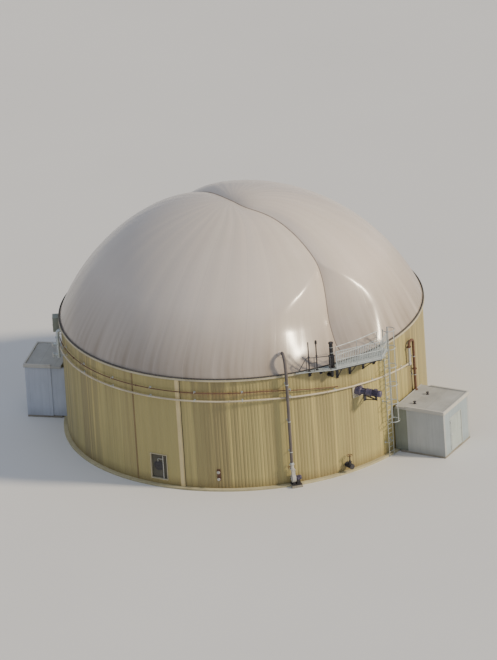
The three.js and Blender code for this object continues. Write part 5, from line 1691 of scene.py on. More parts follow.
def cross_bars(start, end, band):
    """Bars outwards from edge to edge, in two lengths where the stack's hole is in their way."""
    top, hole = DECK_Z - 0.001, RELIEF["hole"]
    a = np.arange(start + 0.2, end - 0.1, 0.35)
    low, high = np.full(len(a), DECK_R + band), deck_edge(a) - band
    off = np.abs(np.radians(a - RELIEF["at"])) * RELIEF["n"]
    cut = off < hole
    reach = np.sqrt(np.maximum(hole**2 - off**2, 0))
    spans = (
        (a[~cut], low[~cut], high[~cut]),
        (a[cut], low[cut], (RELIEF["n"] - reach)[cut]),
        (a[cut], (RELIEF["n"] + reach)[cut], high[cut]),
    )
    spans = [span for span in spans if len(span[0])]
    return [bars(around(near, a, top), around(far, a, top), 0.006, 0.01) for a, near, far in spans]


def grating(start, end):
    """Open grating: bearing bars, cross bars, and flat bands round its edge and at its seams."""
    top, band = DECK_Z, 0.006
    outer = np.array([start, *[turn for turn, _ in DECK_CORNERS if start < turn < end], end])
    inner = np.append(np.arange(start, end, 0.5), end)
    outline = np.concatenate([around(DECK_R, inner, top), around(deck_edge(outer), outer, top)[::-1]])
    banding = bars(outline, np.roll(outline, -1, 0), band, DECK_T)
    seams = np.linspace(start, end, max(2, round((end - start) / 5)) + 1)[1:-1]
    split = bars(around(DECK_R, seams, top), around(deck_edge(seams), seams, top), 0.009, DECK_T - 0.005)
    return joined(bearing_bars(start, end, band), *cross_bars(start, end, band), banding, split)


def wall_bracket(reach, under, drop):
    """Deck bracket in a flat's axes: pad, neck under the rim, upright and channel arm."""
    neck, top, low = COPING_R + 0.015, WALL_TOP - 0.015, under - drop
    arm = [(neck, -0.025, under - 0.045), (reach, -0.025, under - 0.045)]
    return [
        pad(SEAT, 0, (low + top) / 2, 0.18, top - low, 0.016),
        block((SEAT + 0.01, -0.006, low + 0.03), (SEAT + 0.09, 0.006, low + 0.17), 0.002),
        block((SEAT + 0.01, -0.03, WALL_TOP - 0.16), (neck + 0.06, 0.03, top), 0.005),
        block((neck, -0.03, WALL_TOP - 0.16), (neck + 0.06, 0.03, under), 0.005),
        swept(channel_section(0.09, 0.05, 0.007), arm),
        block((reach - 0.008, -0.03, under - 0.09), (reach, 0.03, under), 0.002),
    ]


def deck_supports(angles, drop, strut, short, start, end):
    """Wall brackets with struts, and an angle bar along the deck's inner edge."""
    under = DECK_Z - DECK_T - GAP
    parts = []
    for angle in angles:
        flat, along = flat_at(angle)
        reach = float(deck_edge(angle)) - 0.09
        knee, foot = reach - short, (WALL_FACE + 0.05, 0, under - drop + 0.09)
        gusset = block((knee - 0.06, -0.005, under - 0.15), (knee + 0.05, 0.005, under - 0.05), 0.002)
        stay = rod((knee, 0, under - 0.06), foot, strut - 0.004, 14)
        bracket = joined(*wall_bracket(reach, under, drop), stay, gusset)
        parts.append(stationed(bracket, flat, (0, along, 0)))
    r, t, low = DECK_R + 0.04, 0.007, under - 0.06
    bar = [(r, low), (r + 0.05, low), (r + 0.05, low + t), (r + t, low + t), (r + t, under), (r, under)]
    return joined(*parts, ringed(bar, start, end, 0.5))


def make_platform():
    """Grating on its beam and brackets, with a guard rail outside and a plain one inside."""
    zn = zinc()
    start, bend, end = [angle for angle, _ in DECK_CORNERS[1:]]
    put("platform_grating", [(grating(start + 0.05, end), zn)], ["platform_deck"])
    beam = [(*on_edge(a, 0.095), DECK_Z - DECK_T - 0.0504) for a in (start + 1, bend, end - 1)]
    beam = swept(channel_section(0.1, 0.05, 0.007), beam)
    steel = deck_supports(PLATFORM_BRACKETS, 1.0, 0.034, 0.15, start + 1, end - 1)
    put("platform_steelwork", [(joined(steel, beam), paint("dark"))], ["platform_frame"])
    base = DECK_Z + GAP
    posts = [on_edge(a, 0.04) for a in (start + 1.4, 34, bend, end - 0.6)]
    corners = [posts[0], posts[2], posts[3]]
    rail = joined(handrail(corners, posts, base), infill(corners))
    put("platform_guard_rail", [(rail, zn)], ["platform_outer_rail"])
    back = [around(DECK_R + 0.06, a, 0)[:2] for a in (start + 3.2, 37, end - 1.2)]
    put("platform_back_rail", [(handrail(back, back, base), zn)], ["platform_inner_rail"])


def make_walkway():
    """Narrow grating on light brackets, and a rail that slopes down to its far end."""
    tip, start = [angle for angle, _ in DECK_CORNERS[:2]]
    put("walkway_grating", [(grating(tip, start), zinc())], ["walkway_deck"])
    steel = deck_supports(WALKWAY_BRACKETS, 0.43, 0.026, 0.06, tip + 4, start - 0.2)
    put("walkway_steelwork", [(steel, paint("dark"))], ["walkway_frame"])
    base, top = DECK_Z + GAP, DECK_Z + WALKWAY_RAIL["height"]
    posts = [(*on_edge(a, RAIL_R + 0.004), top) for a in WALKWAY_RAIL["posts"]]
    x, y = on_edge(WALKWAY_RAIL["foot"], RAIL_R + 0.004)
    rail = rounded_path([posts[0], posts[-1], (x, y, base + RAIL_R)], 0.12)
    parts = [swept(circle(RAIL_R, 14), rail), rod((x, y, base), (x, y, base + 2 * RAIL_R), POST_R, 14)]
    for x, y, z in posts:
        parts.append(rod((x, y, base), (x, y, z), POST_R, 14))
        parts.append(block((x - 0.026, y - 0.026, base), (x + 0.026, y + 0.026, base + 0.01), 0.003))
    # Painted shade: the rail's zinc is made dark to stand in for the shade that it lies in.
    weathered = finish_of("Weathered zinc", zinc_coat, srgb(92, 92, 95))
    put("walkway_guard_rail", [(joined(*parts), weathered)], ["walkway_rail"])


def make_relief():
    """Stack through the deck: pipe, valve body, tube and cap above, and an elbow into the wall."""
    black, zn = finish_of("Black stack paint", steel_paint, srgb(44, 43, 46), 0.35, 0.4), zinc()
    at, low, r, wide, bend = RELIEF["at"], RELIEF["low"], 0.085, 0.12, 0.13
    flat, along = flat_at(at)
    body = [(7.452, wide), (7.47, 0.17), (7.5, 0.175), (8.0, 0.175), (8.012, 0.2), (8.02, 0.215)]
    body += [(8.036, 0.215), (8.045, 0.17), (8.09, 0.122)]
    cap = [(8.8, wide), (8.83, 0.148), (8.9, 0.15), (8.915, 0.135), (8.92, 0.06)]
    a = np.radians(np.linspace(0, 90, 13))[1:]
    arc = np.stack([bend * np.cos(a) - bend, 0 * a, low + bend - bend * np.sin(a)], 1)
    elbow = [(0, 0, low + bend), *arc, (WALL_FACE - 0.002 - RELIEF["n"], 0, low)]
    stack = joined(
        spun([(low + bend, r), (7.46, r)], 28),
        flange(0.165, 0.022, (0, 0, 7.43), UP, 8),
        spun(body, 36),
        spun([(8.08, wide), (8.8, wide)], 32),
        spun(cap, 32),
        swept(circle(r, 28), elbow, ALONG),
        spun([(0, 0.19), (0.02, 0.19), (0.03, 0.1)], 32, (0, 0, DECK_Z + GAP)),
    )
    bands = [collar(wide + 0.001, wide + 0.007, 0.012, (0, 0, z), UP, 32) for z in (8.25, 8.6)]
    a = np.radians(np.arange(0, 360, 45))
    ways = np.stack([np.cos(a), np.sin(a), 0 * a], 1)
    studs = copies(bolt(0.008, 0.008), [aim(way) for way in ways], 0.174 * ways + (0, 0, 7.9))
    wall = joined(
        flange(0.15, 0.02, (SEAT, 0, low), OUT, 8),
        flange(0.15, 0.018, (WALL_FACE + 0.021, 0, low), OUT, 8),
    )
    base = (RELIEF["n"], 0, 0)
    parts = [(stationed(stack, at, base), black), (stationed(wall, flat, (0, along, 0)), black)]
    parts.append((stationed(joined(*bands, studs), at, base), zn))
    put("relief_stack", parts, ["relief_valve"])


def make_vents():
    """Two posts with flanged joints, one with a hood of ringed vanes, and the tie between them."""
    dark, black = paint("dark"), finish_of("Black cap paint", steel_paint, srgb(30, 30, 33), 0.1, 0.35)
    foot, top, r = DECK_Z + GAP, DECK_Z + 1.9, 0.038
    parts = []
    for at, n, hood in VENT_POSTS:
        base = (n, 0, 0)
        tip = [(top, r)] if hood else [(top - 0.01, r), (top, 0.032), (top, 0.02)]
        post = joined(
            spun([(foot, r), *tip], 20),
            flange(0.09, 0.024, (0, 0, foot), UP, 4, 0.009),
            *[flange(0.075, 0.014, (0, 0, foot + z), UP, 4, 0.007) for z in (0.9, 0.9142)],
        )
        parts.append((stationed(post, at, base), dark))
        if hood:
            skirt = [(top - 0.2, 0.04), (top - 0.198, hood), (top - 0.06, hood)]
            cap = spun(skirt + [(top + 0.02, 0.05), (top + 0.04, 0.015)], 24)
            vanes = [torus(hood + 0.001, 0.003, 24, (0, 0, top - z), UP, 6) for z in (0.17, 0.14, 0.11, 0.08)]
            parts.append((stationed(joined(cap, *vanes), at, base), black))
    spots = [around(n, at, 7.8) for at, n, _ in VENT_POSTS]
    clamps = [collar(r + 0.001, r + 0.007, 0.02, spot, UP, 20) for spot in spots]
    put("vent_posts", parts + [(joined(rod(*spots, 0.016, 12), *clamps), dark)], ["vent_pipes"])


def make_ladder():
    """Two stringers with feet, rungs at equal steps and bolted stays to the wall."""
    middle, shift = flat_at(LADDER["at"])
    n, half, top = TANK_R + LADDER["offset"], LADDER["half"], LADDER["top"]
    wall = SEAT - n
    parts = []
    for t in (-half, half):
        parts.append(block((-0.03, t - 0.008, 0.0), (0.03, t + 0.008, top), 0.003))
        parts.append(block((-0.07, t - 0.04, 0.0), (0.07, t + 0.04, 0.012), 0.003))
    z = np.arange(LADDER["rung"], top - 0.1, LADDER["rung"])
    rung = rod((0, -half, 0), (0, half, 0), 0.013, 12, 0)
    parts.append(copies(rung, [np.eye(3)], np.outer(z, UP)))
    for h in (0.9, 3.6, 6.3):
        for side in (-1, 1):
            t = side * half
            parts.append(pad(wall, t + side * 0.02, h, 0.1, 0.14, 0.008))
            parts.append(block((wall + 0.0046, t - 0.006, h - 0.025), (0, t + 0.006, h + 0.025), 0.002))
            parts.append(bolt_circle(2, 0.015, (0, t + side * 0.008, h), (0, side, 0), 0.008))
    put_at("access_ladder", "ladder", middle, (n, shift, 0), (zinc(), *parts))


def make_cage():
    """Open hoops behind the ladder, tied by upright strips that are bolted to each hoop."""
    middle, shift = flat_at(LADDER["at"])
    base, top = (TANK_R + LADDER["offset"], shift, 0), LADDER["top"]
    low, radius, centre = CAGE["low"], CAGE["radius"], np.array([0.3303, 0, 0])
    limit = math.acos(-0.3 / radius)
    a = np.linspace(-limit, limit, 41)
    arc = centre + (radius - 0.005) * np.stack([np.cos(a), np.sin(a), 0 * a], 1)
    gap = (top - 0.06 - low) / (CAGE["hoops"] - 1)
    rise = np.outer(low + CAGE["strip"] / 2 + gap * np.arange(CAGE["hoops"]), UP)
    hoops = copies(swept(rectangle(0.008, 0.05, 0.002), arc), [np.eye(3)], rise)
    strip = block((-0.004, -0.02, low), (0.004, 0.02, top - 0.005), 0.002)
    strips, studs = [], []
    for turn in np.linspace(-limit * 0.97, limit * 0.97, CAGE["bars"]):
        way = np.array([math.cos(turn), math.sin(turn), 0])
        spin = station_turn(90 + math.degrees(turn))
        strips.append(copies(strip, spin, [centre + (radius - 0.014) * way]))
        studs.append(copies(bolt(0.008, 0.006), [aim(way)], centre + (radius - 0.001) * way + rise))
    parts = [(zinc(), hoops, *strips), (fasteners(), *studs)]
    put_at("ladder_guard_cage", "ladder_cage", middle, base, *parts)


# Sheds


def turned_panel(low, high, bevel=0.006):
    """Wall block whose flat places are (height, run along the wall), for upright panel joints."""
    shape = block(low, high, bevel)
    along = 1 if high[1] - low[1] > high[0] - low[0] else 0
    shape.flats = [shape.points[faces][..., [2, along]] for faces in shape.faces]
    return shape


def shed_walls(shed):
    """Side walls, end wall round the doorway, the doorway's casing, and infills up to the tank."""
    end, base, under = shed["end"], SHED_FLOOR_H + GAP, shed["roof"] - SHED_ROOF_T - GAP
    inside, face, low, high = SHED_HALF - SHED_WALL, end - SHED_WALL, DOORWAY["low"], DOORWAY["high"]
    lintel = SHED_FLOOR_H + DOORWAY["height"]
    head = lintel + 0.055
    sides = [
        turned_panel((SHED_START, -SHED_HALF, base), (end, -inside, under)),
        turned_panel((SHED_START, inside, base), (end, SHED_HALF, under)),
    ]
    front = [
        turned_panel((face, -inside, base), (end, low, under), 0.003),
        turned_panel((face, high, base), (end, inside, under), 0.003),
        turned_panel((face, low, lintel), (end, high, under), 0.003),
    ]
    width, proud, bevel = shed["jamb"]
    casing = [
        block((end - 0.02, low - width, base), (end + proud, low - 0.001, head), bevel),
        block((end - 0.02, high + 0.001, base), (end + 0.012, high + 0.055, head), 0.003),
        block((end - 0.02, low - 0.022, lintel + 0.001), (end + 0.012, high + 0.055, head), 0.003),
        block((face, low, lintel - 0.006), (end - 0.07, high, lintel), 0.001),
    ]
    infills = [
        turned_panel((INFILL_START, t, base), (SHED_START - GAP, t + 0.1, under), 0.003)
        for t in (0.06 - SHED_HALF, SHED_HALF - 0.16)
    ]
    return sides, front, casing, infills


def roof_parts(shed):
    """Sheet plate, raised kerbs on three sides, and fillets inside them, each with its finish."""
    look, roof, top = settings("sheds"), shed["roof"], shed["roof"] + ROOF_KERB
    sheet_finish = finish_of("Shed roofing", roofing, look.roof, shade(look.roof, 0.7), 1.0)
    kerb_finish = finish_of("Roof kerb", cast_concrete, look.kerb, shade(look.kerb, 0.7), 0.0)
    half, reach, low = SHED_HALF + SHED_EAVES, shed["end"] + SHED_EAVES, roof - SHED_ROOF_T
    inner, back, front = half - 0.11, SHED_ROOF_START, reach - 0.11
    plate = block((back, 0.002 - half, low), (reach - 0.002, half - 0.002, roof))
    kerbs = [
        block((SHED_START, -half, low), (reach, -inner, top), 0.01),
        block((SHED_START, inner, low), (reach, half, top), 0.01),
        block((front, -inner, low), (reach, inner, top), 0.01),
    ]
    fillets = [
        swept([(0, 0), (0.05, 0), (0, 0.05)], [(SHED_START, -inner, roof), (front, -inner, roof)]),
        swept([(0, 0), (0, 0.05), (-0.05, 0)], [(SHED_START, inner, roof), (front, inner, roof)]),
        block((back, 0.004 - half, roof - 0.002), (back + 0.06, half - 0.004, roof + 0.045), 0.01),
    ]
    return (sheet_finish, plate), (kerb_finish, *kerbs), (sheet_finish, *fillets)


def door_shapes():
    """Steel leaf with two pressed fields, and its kick plate, lock plate, lever and keyhole."""
    left, right, low = DOORWAY["low"] + DOOR_GAP, DOORWAY["high"] - DOOR_GAP, DOOR_LOW
    leaf = [block((-DOOR_T, left, low), (-0.003, right, DOOR_HIGH), 0.003)]
    fold = [(-0.018, -0.001), (0.018, -0.001), (0.008, 0.0035), (-0.008, 0.0035)]
    near, far = left + 0.14, right - 0.14
    for a, b in ((low + 0.3, low + 0.98), (low + 1.12, DOOR_HIGH - 0.12)):
        path = [(-0.003, t, z) for t, z in ((near, a), (near, b), (far, b), (far, a), (near, a))]
        leaf += [swept(fold, ends, OUT) for ends in zip(path, path[1:])]
    t, z = DOORWAY["high"] - 0.12, 1.15
    lever = rounded_path([(-0.002, t, z), (0.05, t, z), (0.05, t - 0.14, z)], 0.018)
    metal = [
        block((-0.004, left + 0.03, low + 0.03), (-0.0012, right - 0.03, low + 0.2), 0.001),
        block((-0.004, t - 0.03, 1.03), (0.002, t + 0.03, 1.25), 0.002),
        swept(circle(0.011, 14), lever, UP, 0.002),
        spun([(0, 0.024), (0.006, 0.022)], 20, (0.001, t, z), OUT),
        spun([(0, 0.008), (0.003, 0.007)], 12, (0.001, t, 1.07), OUT),
    ]
    return leaf, metal


def knuckle_hinge(z):
    """Knuckle round the pin, with a leaf that steps round onto the door and its screws."""
    n, t, low, high = 0.035, DOORWAY["low"], z - 0.06, z + 0.06
    return [
        collar(0.0105, 0.018, 0.06, (n, t, z), UP, 20),
        block((n - 0.01, t + 0.012, low), (n - 0.002, t + 0.044, high), 0.001),
        block((-0.005, t + 0.036, low), (n - 0.002, t + 0.044, high), 0.001),
        block((-0.005, t + 0.03, low), (0.005, t + 0.3, high), 0.002),
        copies(bolt(0.006, 0.004), [aim(OUT)], [(0.005, t + k, z) for k in (0.09, 0.17, 0.25)]),
    ]


def strap_hinge(z):
    """Strap across the door and the end wall, with its pin and screws."""
    wall, t = DOOR_GAP, DOORWAY["low"]
    face, low, high = wall + 0.008, z - 0.03, z + 0.03
    screws = [(face, t + k, z) for k in (-0.08, -0.04, 0.08, 0.16, 0.23)]
    return [
        block((-0.004, t + 0.02, low), (face, t + 0.26, high), 0.002),
        block((wall + GAP, t - 0.11, low), (face, t + 0.02, high), 0.002),
        rod((wall + 0.012, t, z - 0.032), (wall + 0.012, t, z + 0.032), 0.009),
        copies(bolt(0.006, 0.004), [aim(OUT)], screws),
    ]


def put_door(name, node, shed, hinge, body=FIXED):
    """A shed's door leaf with its fittings and hinges."""
    leaf, metal = door_shapes()
    hinges = [part for z in HINGE_HEIGHTS for part in hinge(z)]
    door_paint = finish_of("Door paint", steel_paint, settings("sheds").door, 0.15, 0.42)
    parts = [(door_paint, *leaf), (zinc(), *metal, *hinges)]
    put_at(name, node, shed["at"], (shed["end"] - DOOR_GAP, 0, 0), *parts, body=body)


def wall_finish(name, key, dirt, rib):
    """Panel paint in one of the sheds' colours, dirtied by a darker shade of it."""
    colour = getattr(settings("sheds"), key)
    return finish_of(name, panel_paint, colour, shade(colour, dirt), rib)


def casing_finish():
    return finish_of("Door casing paint", steel_paint, settings("sheds").casing, 0.2, 0.45)


def make_right_shed():
    """The right shed, whose door turns on knuckle hinges and whose roof has two small vents."""
    shed, at = RIGHT_SHED, RIGHT_SHED["at"]
    sides, front, casing, infills = shed_walls(shed)
    grey = wall_finish("Shed side paint", "side", 0.68, 1.2)
    pale = wall_finish("Shed end paint", "end", 0.74, 0.3)
    nodes = [f"right_shed_{part}" for part in (
        "near_wall", "far_wall", "end_wall_near", "end_wall_far", "lintel")]
    parts = [(grey, *sides), (pale, *front), (casing_finish(), *casing)]
    put_at("right_shed_walls", " ".join(nodes), at, ORIGIN, *parts)
    fill = wall_finish("Shed infill paint", "infill", 0.65, 0.6)
    nodes = "right_shed_infill_near right_shed_infill_far"
    put_at("right_shed_infills", nodes, at, ORIGIN, (fill, *infills))
    pipe = [(-0.002, 0.1), (0.01, 0.1), (0.012, 0.055), (0.12, 0.055)]
    pipe += [(0.122, 0.1), (0.15, 0.09), (0.165, 0.03)]
    vents = [spun(pipe, 24, (n, t, shed["roof"])) for n, t in ((12.05, -0.95), (12.15, 0.55))]
    parts = [*roof_parts(shed), (paint("dark"), *vents)]
    put_at("right_shed_roofing", "right_shed_roof", at, ORIGIN, *parts)
    put_door("right_shed_door_leaf", "right_shed_door", shed, knuckle_hinge, DOOR_BODY)


def make_left_shed():
    """The left shed, whose door is fixed."""
    shed, at = LEFT_SHED, LEFT_SHED["at"]
    sides, front, casing, infills = shed_walls(shed)
    blue = wall_finish("Left shed paint", "left", 0.72, 1.2)
    parts = [(blue, *sides, *front, *infills), (casing_finish(), *casing)]
    put_at("left_shed_shell", "left_shed_walls", at, ORIGIN, *parts)
    put_at("left_shed_roofing", "left_shed_roof", at, ORIGIN, *roof_parts(shed))
    put_door("left_shed_door_leaf", "left_shed_door", shed, strap_hinge)


def dress_solids():
    """Finishes for the CAD solids that stay in view."""
    # The tank's concrete shows only inside the manhole recess. Its dark colour is partly dirt and damp and
    # partly painted shade in the recess.
    grey = settings("wall").concrete
    concrete = finish_of("Tank concrete", cast_concrete, grey, shade(grey, 0.55), 0.5)
    for k in range(4):
        dress(f"concrete_wall_{k + 1}", concrete)
    dress("right_shed_floor", plinth_concrete())
    dress("left_shed_floor", plinth_concrete())
    dress("right_shed_hinge", zinc())


def make_floor(look):
    """Square floor with a faint cloudy tone."""
    half = 250.0
    mesh = bpy.data.meshes.new("studio_floor")
    corners = [(-half, -half, 0), (half, -half, 0), (half, half, 0), (-half, half, 0)]
    mesh.from_pydata(corners, [], [(0, 1, 2, 3)])
    f = Finish("Studio floor")
    cloud = f.noise(0.05, 3)
    mesh.materials.append(f.done(f.over(look.floor, shade(look.floor, 0.96), cloud, 0.3, 0.7), 0.9))
    floor = shown("studio_floor", mesh)
    floor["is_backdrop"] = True


def make_lights(look):
    """Even light from all round, and two distant lamps: the main one and a soft one from above."""
    world = bpy.data.worlds.new("Studio")
    world.use_nodes = True
    sky = world.node_tree.nodes["Background"].inputs
    sky["Color"].default_value = tone(look.sky)
    sky["Strength"].default_value = look.sky_strength
    bpy.context.scene.world = world
    for name, turn, rise, strength, soft, colour in (
        ("Key", look.key_turn, look.key_rise, look.key_strength, 7.0, look.key),
        ("Fill", -20.0, 76.0, look.fill_strength, 60.0, look.sky),
    ):
        lamp = bpy.data.lights.new(name, "SUN")
        lamp.energy = strength
        lamp.angle = math.radians(soft)
        lamp.color = colour[:3]
        b = math.radians(rise)
        back = Vector(around(math.cos(b), turn, math.sin(b)))
        shown(name, lamp).matrix_world = back.to_track_quat("Z", "Y").to_matrix().to_4x4()


def make_camera(look):
    """Long lens from far off, which looks along the photograph's direction and is rolled about it."""
    rise, roll = math.radians(VIEW_RISE), math.radians(look.roll)
    back = Vector((0, -math.cos(rise), math.sin(rise)))
    right, up = Vector((1, 0, 0)), Vector((0, math.sin(rise), math.cos(rise)))
    x = math.cos(roll) * right - math.sin(roll) * up
    y = math.sin(roll) * right + math.cos(roll) * up
    lens = bpy.data.cameras.new("Camera")
    lens.lens = look.lens
    lens.sensor_fit = "AUTO"
    lens.sensor_width = 36.0
    lens.clip_start = 10.0
    lens.clip_end = 2000.0
    turn = Matrix((x, y, back)).transposed().to_4x4()
    camera = shown("Camera", lens)
    camera.matrix_world = Matrix.Translation(Vector(look.target) + back * VIEW_DISTANCE) @ turn
    bpy.context.scene.camera = camera


# Add-on


def a_colour(name, text, value):
    """A colour that a user may change."""
    return FloatVectorProperty(
        name=name, description=text, default=value, subtype="COLOR", size=3, min=0.0, max=1.0)


def an_amount(name, text, value, **more):
    """A number that a user may change."""
    return FloatProperty(name=name, description=text, default=value, **more)


def a_length(name, text, value, low, high):
    """A length that a user may change."""
    return an_amount(name, text, value, min=low, max=high, unit="LENGTH")


def a_number(name, text, value, low):
    """A whole number that a user may change."""
    return IntProperty(name=name, description=text, default=value, min=low)


class DigesterWallSettings(bpy.types.PropertyGroup):
    """Ribbed sheets, joints and rim."""

    sheets: a_number("Sheets", "Upright sheets round the tank, a multiple of four", 68, 4)
    ribs: a_number("Ribs", "Flats on each sheet", 5, 1)
    rib_depth: a_length("Rib depth", "Depth of the troughs", 0.011, 0.0, 0.05)
    sheet_gauge: a_length("Sheet gauge", "Thickness of the sheet", 0.0008, 0.0004, 0.01)
    paint: a_colour("Paint", "Main colour of the sheets", srgb(180, 168, 112))
    streak: a_colour("Streak", "Colour of the weathered sheets", srgb(153, 140, 97))
    grime: a_colour("Grime", "Run-off under the rim and splash at the foot", srgb(130, 110, 76))
    strip_paint: a_colour("Cover strip", "Pale strip over the vertical joint", srgb(230, 211, 158))
    joint_paint: a_colour("Joint strip", "Narrow dark strip", srgb(142, 122, 84))
    rim_paint: a_colour("Rim", "Flashing over the wall's top, lining of the recess", srgb(200, 190, 160))
    ledge: a_colour("Ledge", "Base slab where it shows at the wall's foot", srgb(208, 199, 160))
    # Painted shade: this dark concrete colour stands in for the shade inside the manhole recess, over dirt
    # and damp.
    concrete: a_colour("Concrete", "Tank concrete in the manhole recess", srgb(104, 101, 90))


class DigesterRoofSettings(bpy.types.PropertyGroup):
    """Membrane and strap."""

    gores: a_number("Gores", "Welded strips round the membrane", 36, 8)
    scallop: a_length("Scallop", "How far the welds sink between the gores", 0.012, 0.0, 0.1)
    fabric: a_colour("Fabric", "Coated fabric", srgb(226, 213, 200))
    dirt: a_colour("Dirt", "Dust and rain marks", srgb(170, 154, 136))
    strap: a_colour("Strap", "Webbing in the valley", srgb(122, 112, 106))


class DigesterPipeSettings(bpy.types.PropertyGroup):
    """Pipes and hose."""

    gas: a_colour("Gas line", "Lower line round the wall", srgb(212, 200, 172))
    primer: a_colour("Primer", "Upper line, loop and low valves", srgb(112, 80, 62))
    hose: a_colour("Hose", "Support air hose", srgb(84, 78, 76))


class DigesterSteelSettings(bpy.types.PropertyGroup):
    """Steelwork and machines."""

    zinc: a_colour("Zinc", "Galvanised platform, rails and ladder", srgb(196, 204, 205))
    dark: a_colour("Dark paint", "Frames and valves", srgb(62, 60, 64))
    pale: a_colour("Pale paint", "Machines and brackets", srgb(196, 194, 186))
    clamp: a_colour("Clamp", "Clamp bar at the membrane's foot", srgb(88, 84, 80))
    motor: a_colour("Motor", "Enamel of the motors", srgb(92, 86, 108))


class DigesterShedSettings(bpy.types.PropertyGroup):
    """Pump sheds."""

    side: a_colour("Side", "Side walls of the right shed", srgb(180, 184, 183))
    end: a_colour("End", "End wall of the right shed", srgb(166, 179, 184))
    infill: a_colour("Infill", "Narrow walls up to the tank", srgb(142, 148, 136))
    roof: a_colour("Roof", "Sheet roofing", srgb(184, 184, 180))
    kerb: a_colour("Kerb", "Raised roof edge", srgb(206, 204, 196))
    casing: a_colour("Casing", "Frame round the doorway", srgb(188, 190, 184))
    door: a_colour("Door", "Door leaf", srgb(182, 192, 188))
    left: a_colour("Left shed", "Walls of the left shed", srgb(196, 202, 214))


class DigesterStageSettings(bpy.types.PropertyGroup):
    """Floor, light and camera."""

    floor: a_colour("Floor", "Pale studio floor", srgb(222, 221, 219))
    sky: a_colour("Sky", "Soft light from all round", srgb(208, 217, 234))
    key: a_colour("Key", "Main light", srgb(255, 239, 210))
    sky_strength: an_amount("Sky strength", "Strength of the light from all round", 0.56, min=0.0)
    key_strength: an_amount("Key strength", "Strength of the main light", 3.9, min=0.0)
    fill_strength: an_amount("Fill strength", "Strength of the soft light from above", 0.5, min=0.0)
    key_turn: an_amount("Key turn", "Direction of the main light, in degrees from front to right", 75.0)
    key_rise: an_amount("Key rise", "Height of the main light in degrees", 30.0)
    roll: an_amount("Roll", "Tilt of the picture in degrees", VIEW_ROLL)
    lens: an_amount("Lens", "Focal length in millimetres", 661.0, min=50.0)
    target: FloatVectorProperty(
        name="Target", description="Point at the middle of the picture", default=VIEW_TARGET,
        size=3, subtype="XYZ", unit="LENGTH")


class BuildWall(bpy.types.Operator):
    """Base ledge, ribbed sheets with their screws, cover strip and joint strip"""

    bl_idname = "digester.wall"
    bl_label = "Wall"

    def execute(self, context):
        make_wall()
        return {"FINISHED"}


class BuildRim(bpy.types.Operator):
    """Flashing over the wall's top and clamp bar round the membrane"""

    bl_idname = "digester.rim"
    bl_label = "Rim"

    def execute(self, context):
        make_rim()
        return {"FINISHED"}


class BuildRoof(bpy.types.Operator):
    """Two-lobed membrane and the strap in its valley"""

    bl_idname = "digester.roof"
    bl_label = "Membrane roof"

    def execute(self, context):
        make_membrane()
        make_webbing()
        return {"FINISHED"}


class BuildManhole(bpy.types.Operator):
    """Recess lining, bolted lid and its davit"""

    bl_idname = "digester.manhole"
    bl_label = "Manhole"

    def execute(self, context):
        make_lining()
        make_lid_and_davit()
        return {"FINISHED"}


class BuildLowValves(bpy.types.Operator):
    """Sampling valves and the gated drain"""

    bl_idname = "digester.low_valves"
    bl_label = "Low valves"

    def execute(self, context):
        make_stubs()
        make_drain()
        return {"FINISHED"}


class BuildLines(bpy.types.Operator):
    """Gas line and air line round the wall"""

    bl_idname = "digester.lines"
    bl_label = "Lines round the wall"

    def execute(self, context):
        make_lines()
        return {"FINISHED"}


class BuildLoop(bpy.types.Operator):
    """Inverted U of pipe over the right shed"""

    bl_idname = "digester.loop"
    bl_label = "Pipe loop"

    def execute(self, context):
        make_left_leg()
        make_right_leg()
        return {"FINISHED"}


class BuildTakeOff(bpy.types.Operator):
    """Gas outlet with its two blanked branches"""

    bl_idname = "digester.take_off"
    bl_label = "Gas outlet"

    def execute(self, context):
        make_take_off()
        return {"FINISHED"}


class BuildCabinet(bpy.types.Operator):
    """Instrument cabinet on its rails"""

    bl_idname = "digester.cabinet"
    bl_label = "Cabinet"

    def execute(self, context):
        make_cabinet()
        return {"FINISHED"}


class BuildSupportAir(bpy.types.Operator):
    """Support air hose, its inlet on the roof and the blower"""

    bl_idname = "digester.support_air"
    bl_label = "Support air"

    def execute(self, context):
        make_hose()
        make_blower()
        return {"FINISHED"}


class BuildAgitator(bpy.types.Operator):
    """Agitator's wall plate, geared motor and stay"""

    bl_idname = "digester.agitator"
    bl_label = "Agitator"

    def execute(self, context):
        make_wall_plate()
        make_drive()
        make_stay()
        return {"FINISHED"}


class BuildPlatform(bpy.types.Operator):
    """Platform grating, its steelwork and rails"""

    bl_idname = "digester.platform"
    bl_label = "Platform"

    def execute(self, context):
        make_platform()
        return {"FINISHED"}


class BuildWalkway(bpy.types.Operator):
    """Curved walkway beside the platform"""

    bl_idname = "digester.walkway"
    bl_label = "Walkway"

    def execute(self, context):
        make_walkway()
        return {"FINISHED"}


class BuildRelief(bpy.types.Operator):
    """Relief valve's stack"""

    bl_idname = "digester.relief"
    bl_label = "Relief valve"

    def execute(self, context):
        make_relief()
        return {"FINISHED"}


class BuildVents(bpy.types.Operator):
    """Two vent posts"""

    bl_idname = "digester.vents"
    bl_label = "Vent posts"

    def execute(self, context):
        make_vents()
        return {"FINISHED"}


class BuildLadder(bpy.types.Operator):
    """Ladder and its guard cage"""

    bl_idname = "digester.ladder"
    bl_label = "Ladder"

    def execute(self, context):
        make_ladder()
        make_cage()
        return {"FINISHED"}


class BuildRightShed(bpy.types.Operator):
    """Right shed with its hinged door"""

    bl_idname = "digester.right_shed"
    bl_label = "Right shed"

    def execute(self, context):
        make_right_shed()
        return {"FINISHED"}


class BuildLeftShed(bpy.types.Operator):
    """Left shed with its fixed door"""

    bl_idname = "digester.left_shed"
    bl_label = "Left shed"

    def execute(self, context):
        make_left_shed()
        return {"FINISHED"}


class DressSolids(bpy.types.Operator):
    """Finishes of the solids that stay as they are"""

    bl_idname = "digester.dress_solids"
    bl_label = "Plain solids"

    def execute(self, context):
        dress_solids()
        return {"FINISHED"}


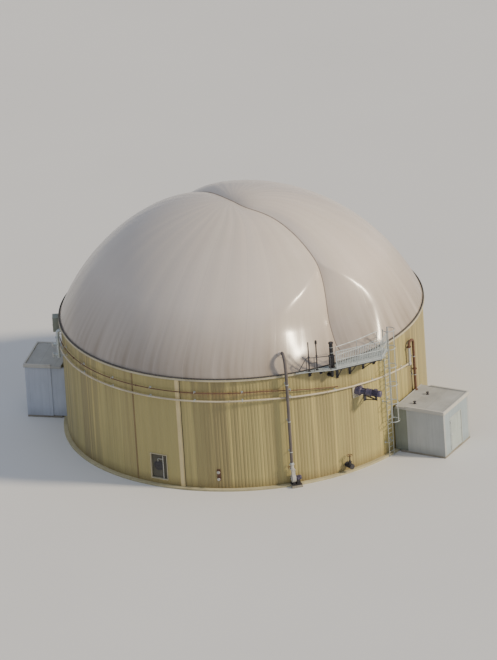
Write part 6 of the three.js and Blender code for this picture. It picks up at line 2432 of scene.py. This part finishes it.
class BuildStage(bpy.types.Operator):
    """Floor, light and camera"""

    bl_idname = "digester.stage"
    bl_label = "Stage"

    def execute(self, context):
        look = settings("stage")
        make_floor(look)
        make_lights(look)
        make_camera(look)
        return {"FINISHED"}


SETTINGS = {
    "digester_wall": DigesterWallSettings,
    "digester_roof": DigesterRoofSettings,
    "digester_pipes": DigesterPipeSettings,
    "digester_steel": DigesterSteelSettings,
    "digester_sheds": DigesterShedSettings,
    "digester_stage": DigesterStageSettings,
}
OPERATORS = (
    BuildStage, BuildWall, BuildRim, BuildRoof, BuildManhole, BuildLowValves, BuildLines,
    BuildLoop, BuildTakeOff, BuildCabinet, BuildSupportAir, BuildAgitator, BuildPlatform,
    BuildWalkway, BuildRelief, BuildVents, BuildLadder, BuildRightShed, BuildLeftShed, DressSolids,
)


class DigesterPanel(bpy.types.Panel):
    """Sizes, colours and pieces of the digester"""

    bl_idname = "VIEW3D_PT_digester"
    bl_label = "Biogas digester"
    bl_space_type = "VIEW_3D"
    bl_region_type = "UI"
    bl_category = "Digester"

    def draw(self, context):
        for name, group in SETTINGS.items():
            box = self.layout.box()
            box.label(text=group.__doc__.strip().rstrip("."))
            for field in group.__annotations__:
                box.prop(getattr(context.scene, name), field)
        for operator in OPERATORS:
            self.layout.operator(operator.bl_idname)


def register():
    for name, group in SETTINGS.items():
        bpy.utils.register_class(group)
        setattr(bpy.types.Scene, name, PointerProperty(type=group))
    for cls in (*OPERATORS, DigesterPanel):
        bpy.utils.register_class(cls)


def unregister():
    for cls in (DigesterPanel, *reversed(OPERATORS)):
        bpy.utils.unregister_class(cls)
    for name, group in reversed(SETTINGS.items()):
        delattr(bpy.types.Scene, name)
        bpy.utils.unregister_class(group)


def main():
    register()
    for operator in OPERATORS:
        group, name = operator.bl_idname.split(".")
        getattr(getattr(bpy.ops, group), name)()
    boxes = {"cad": SOLID_BOX, "visual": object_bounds()}
    {key: [[float(c) for c in corner] for corner in value] for key, value in boxes.items()}


if __name__ == "__main__":
    main()
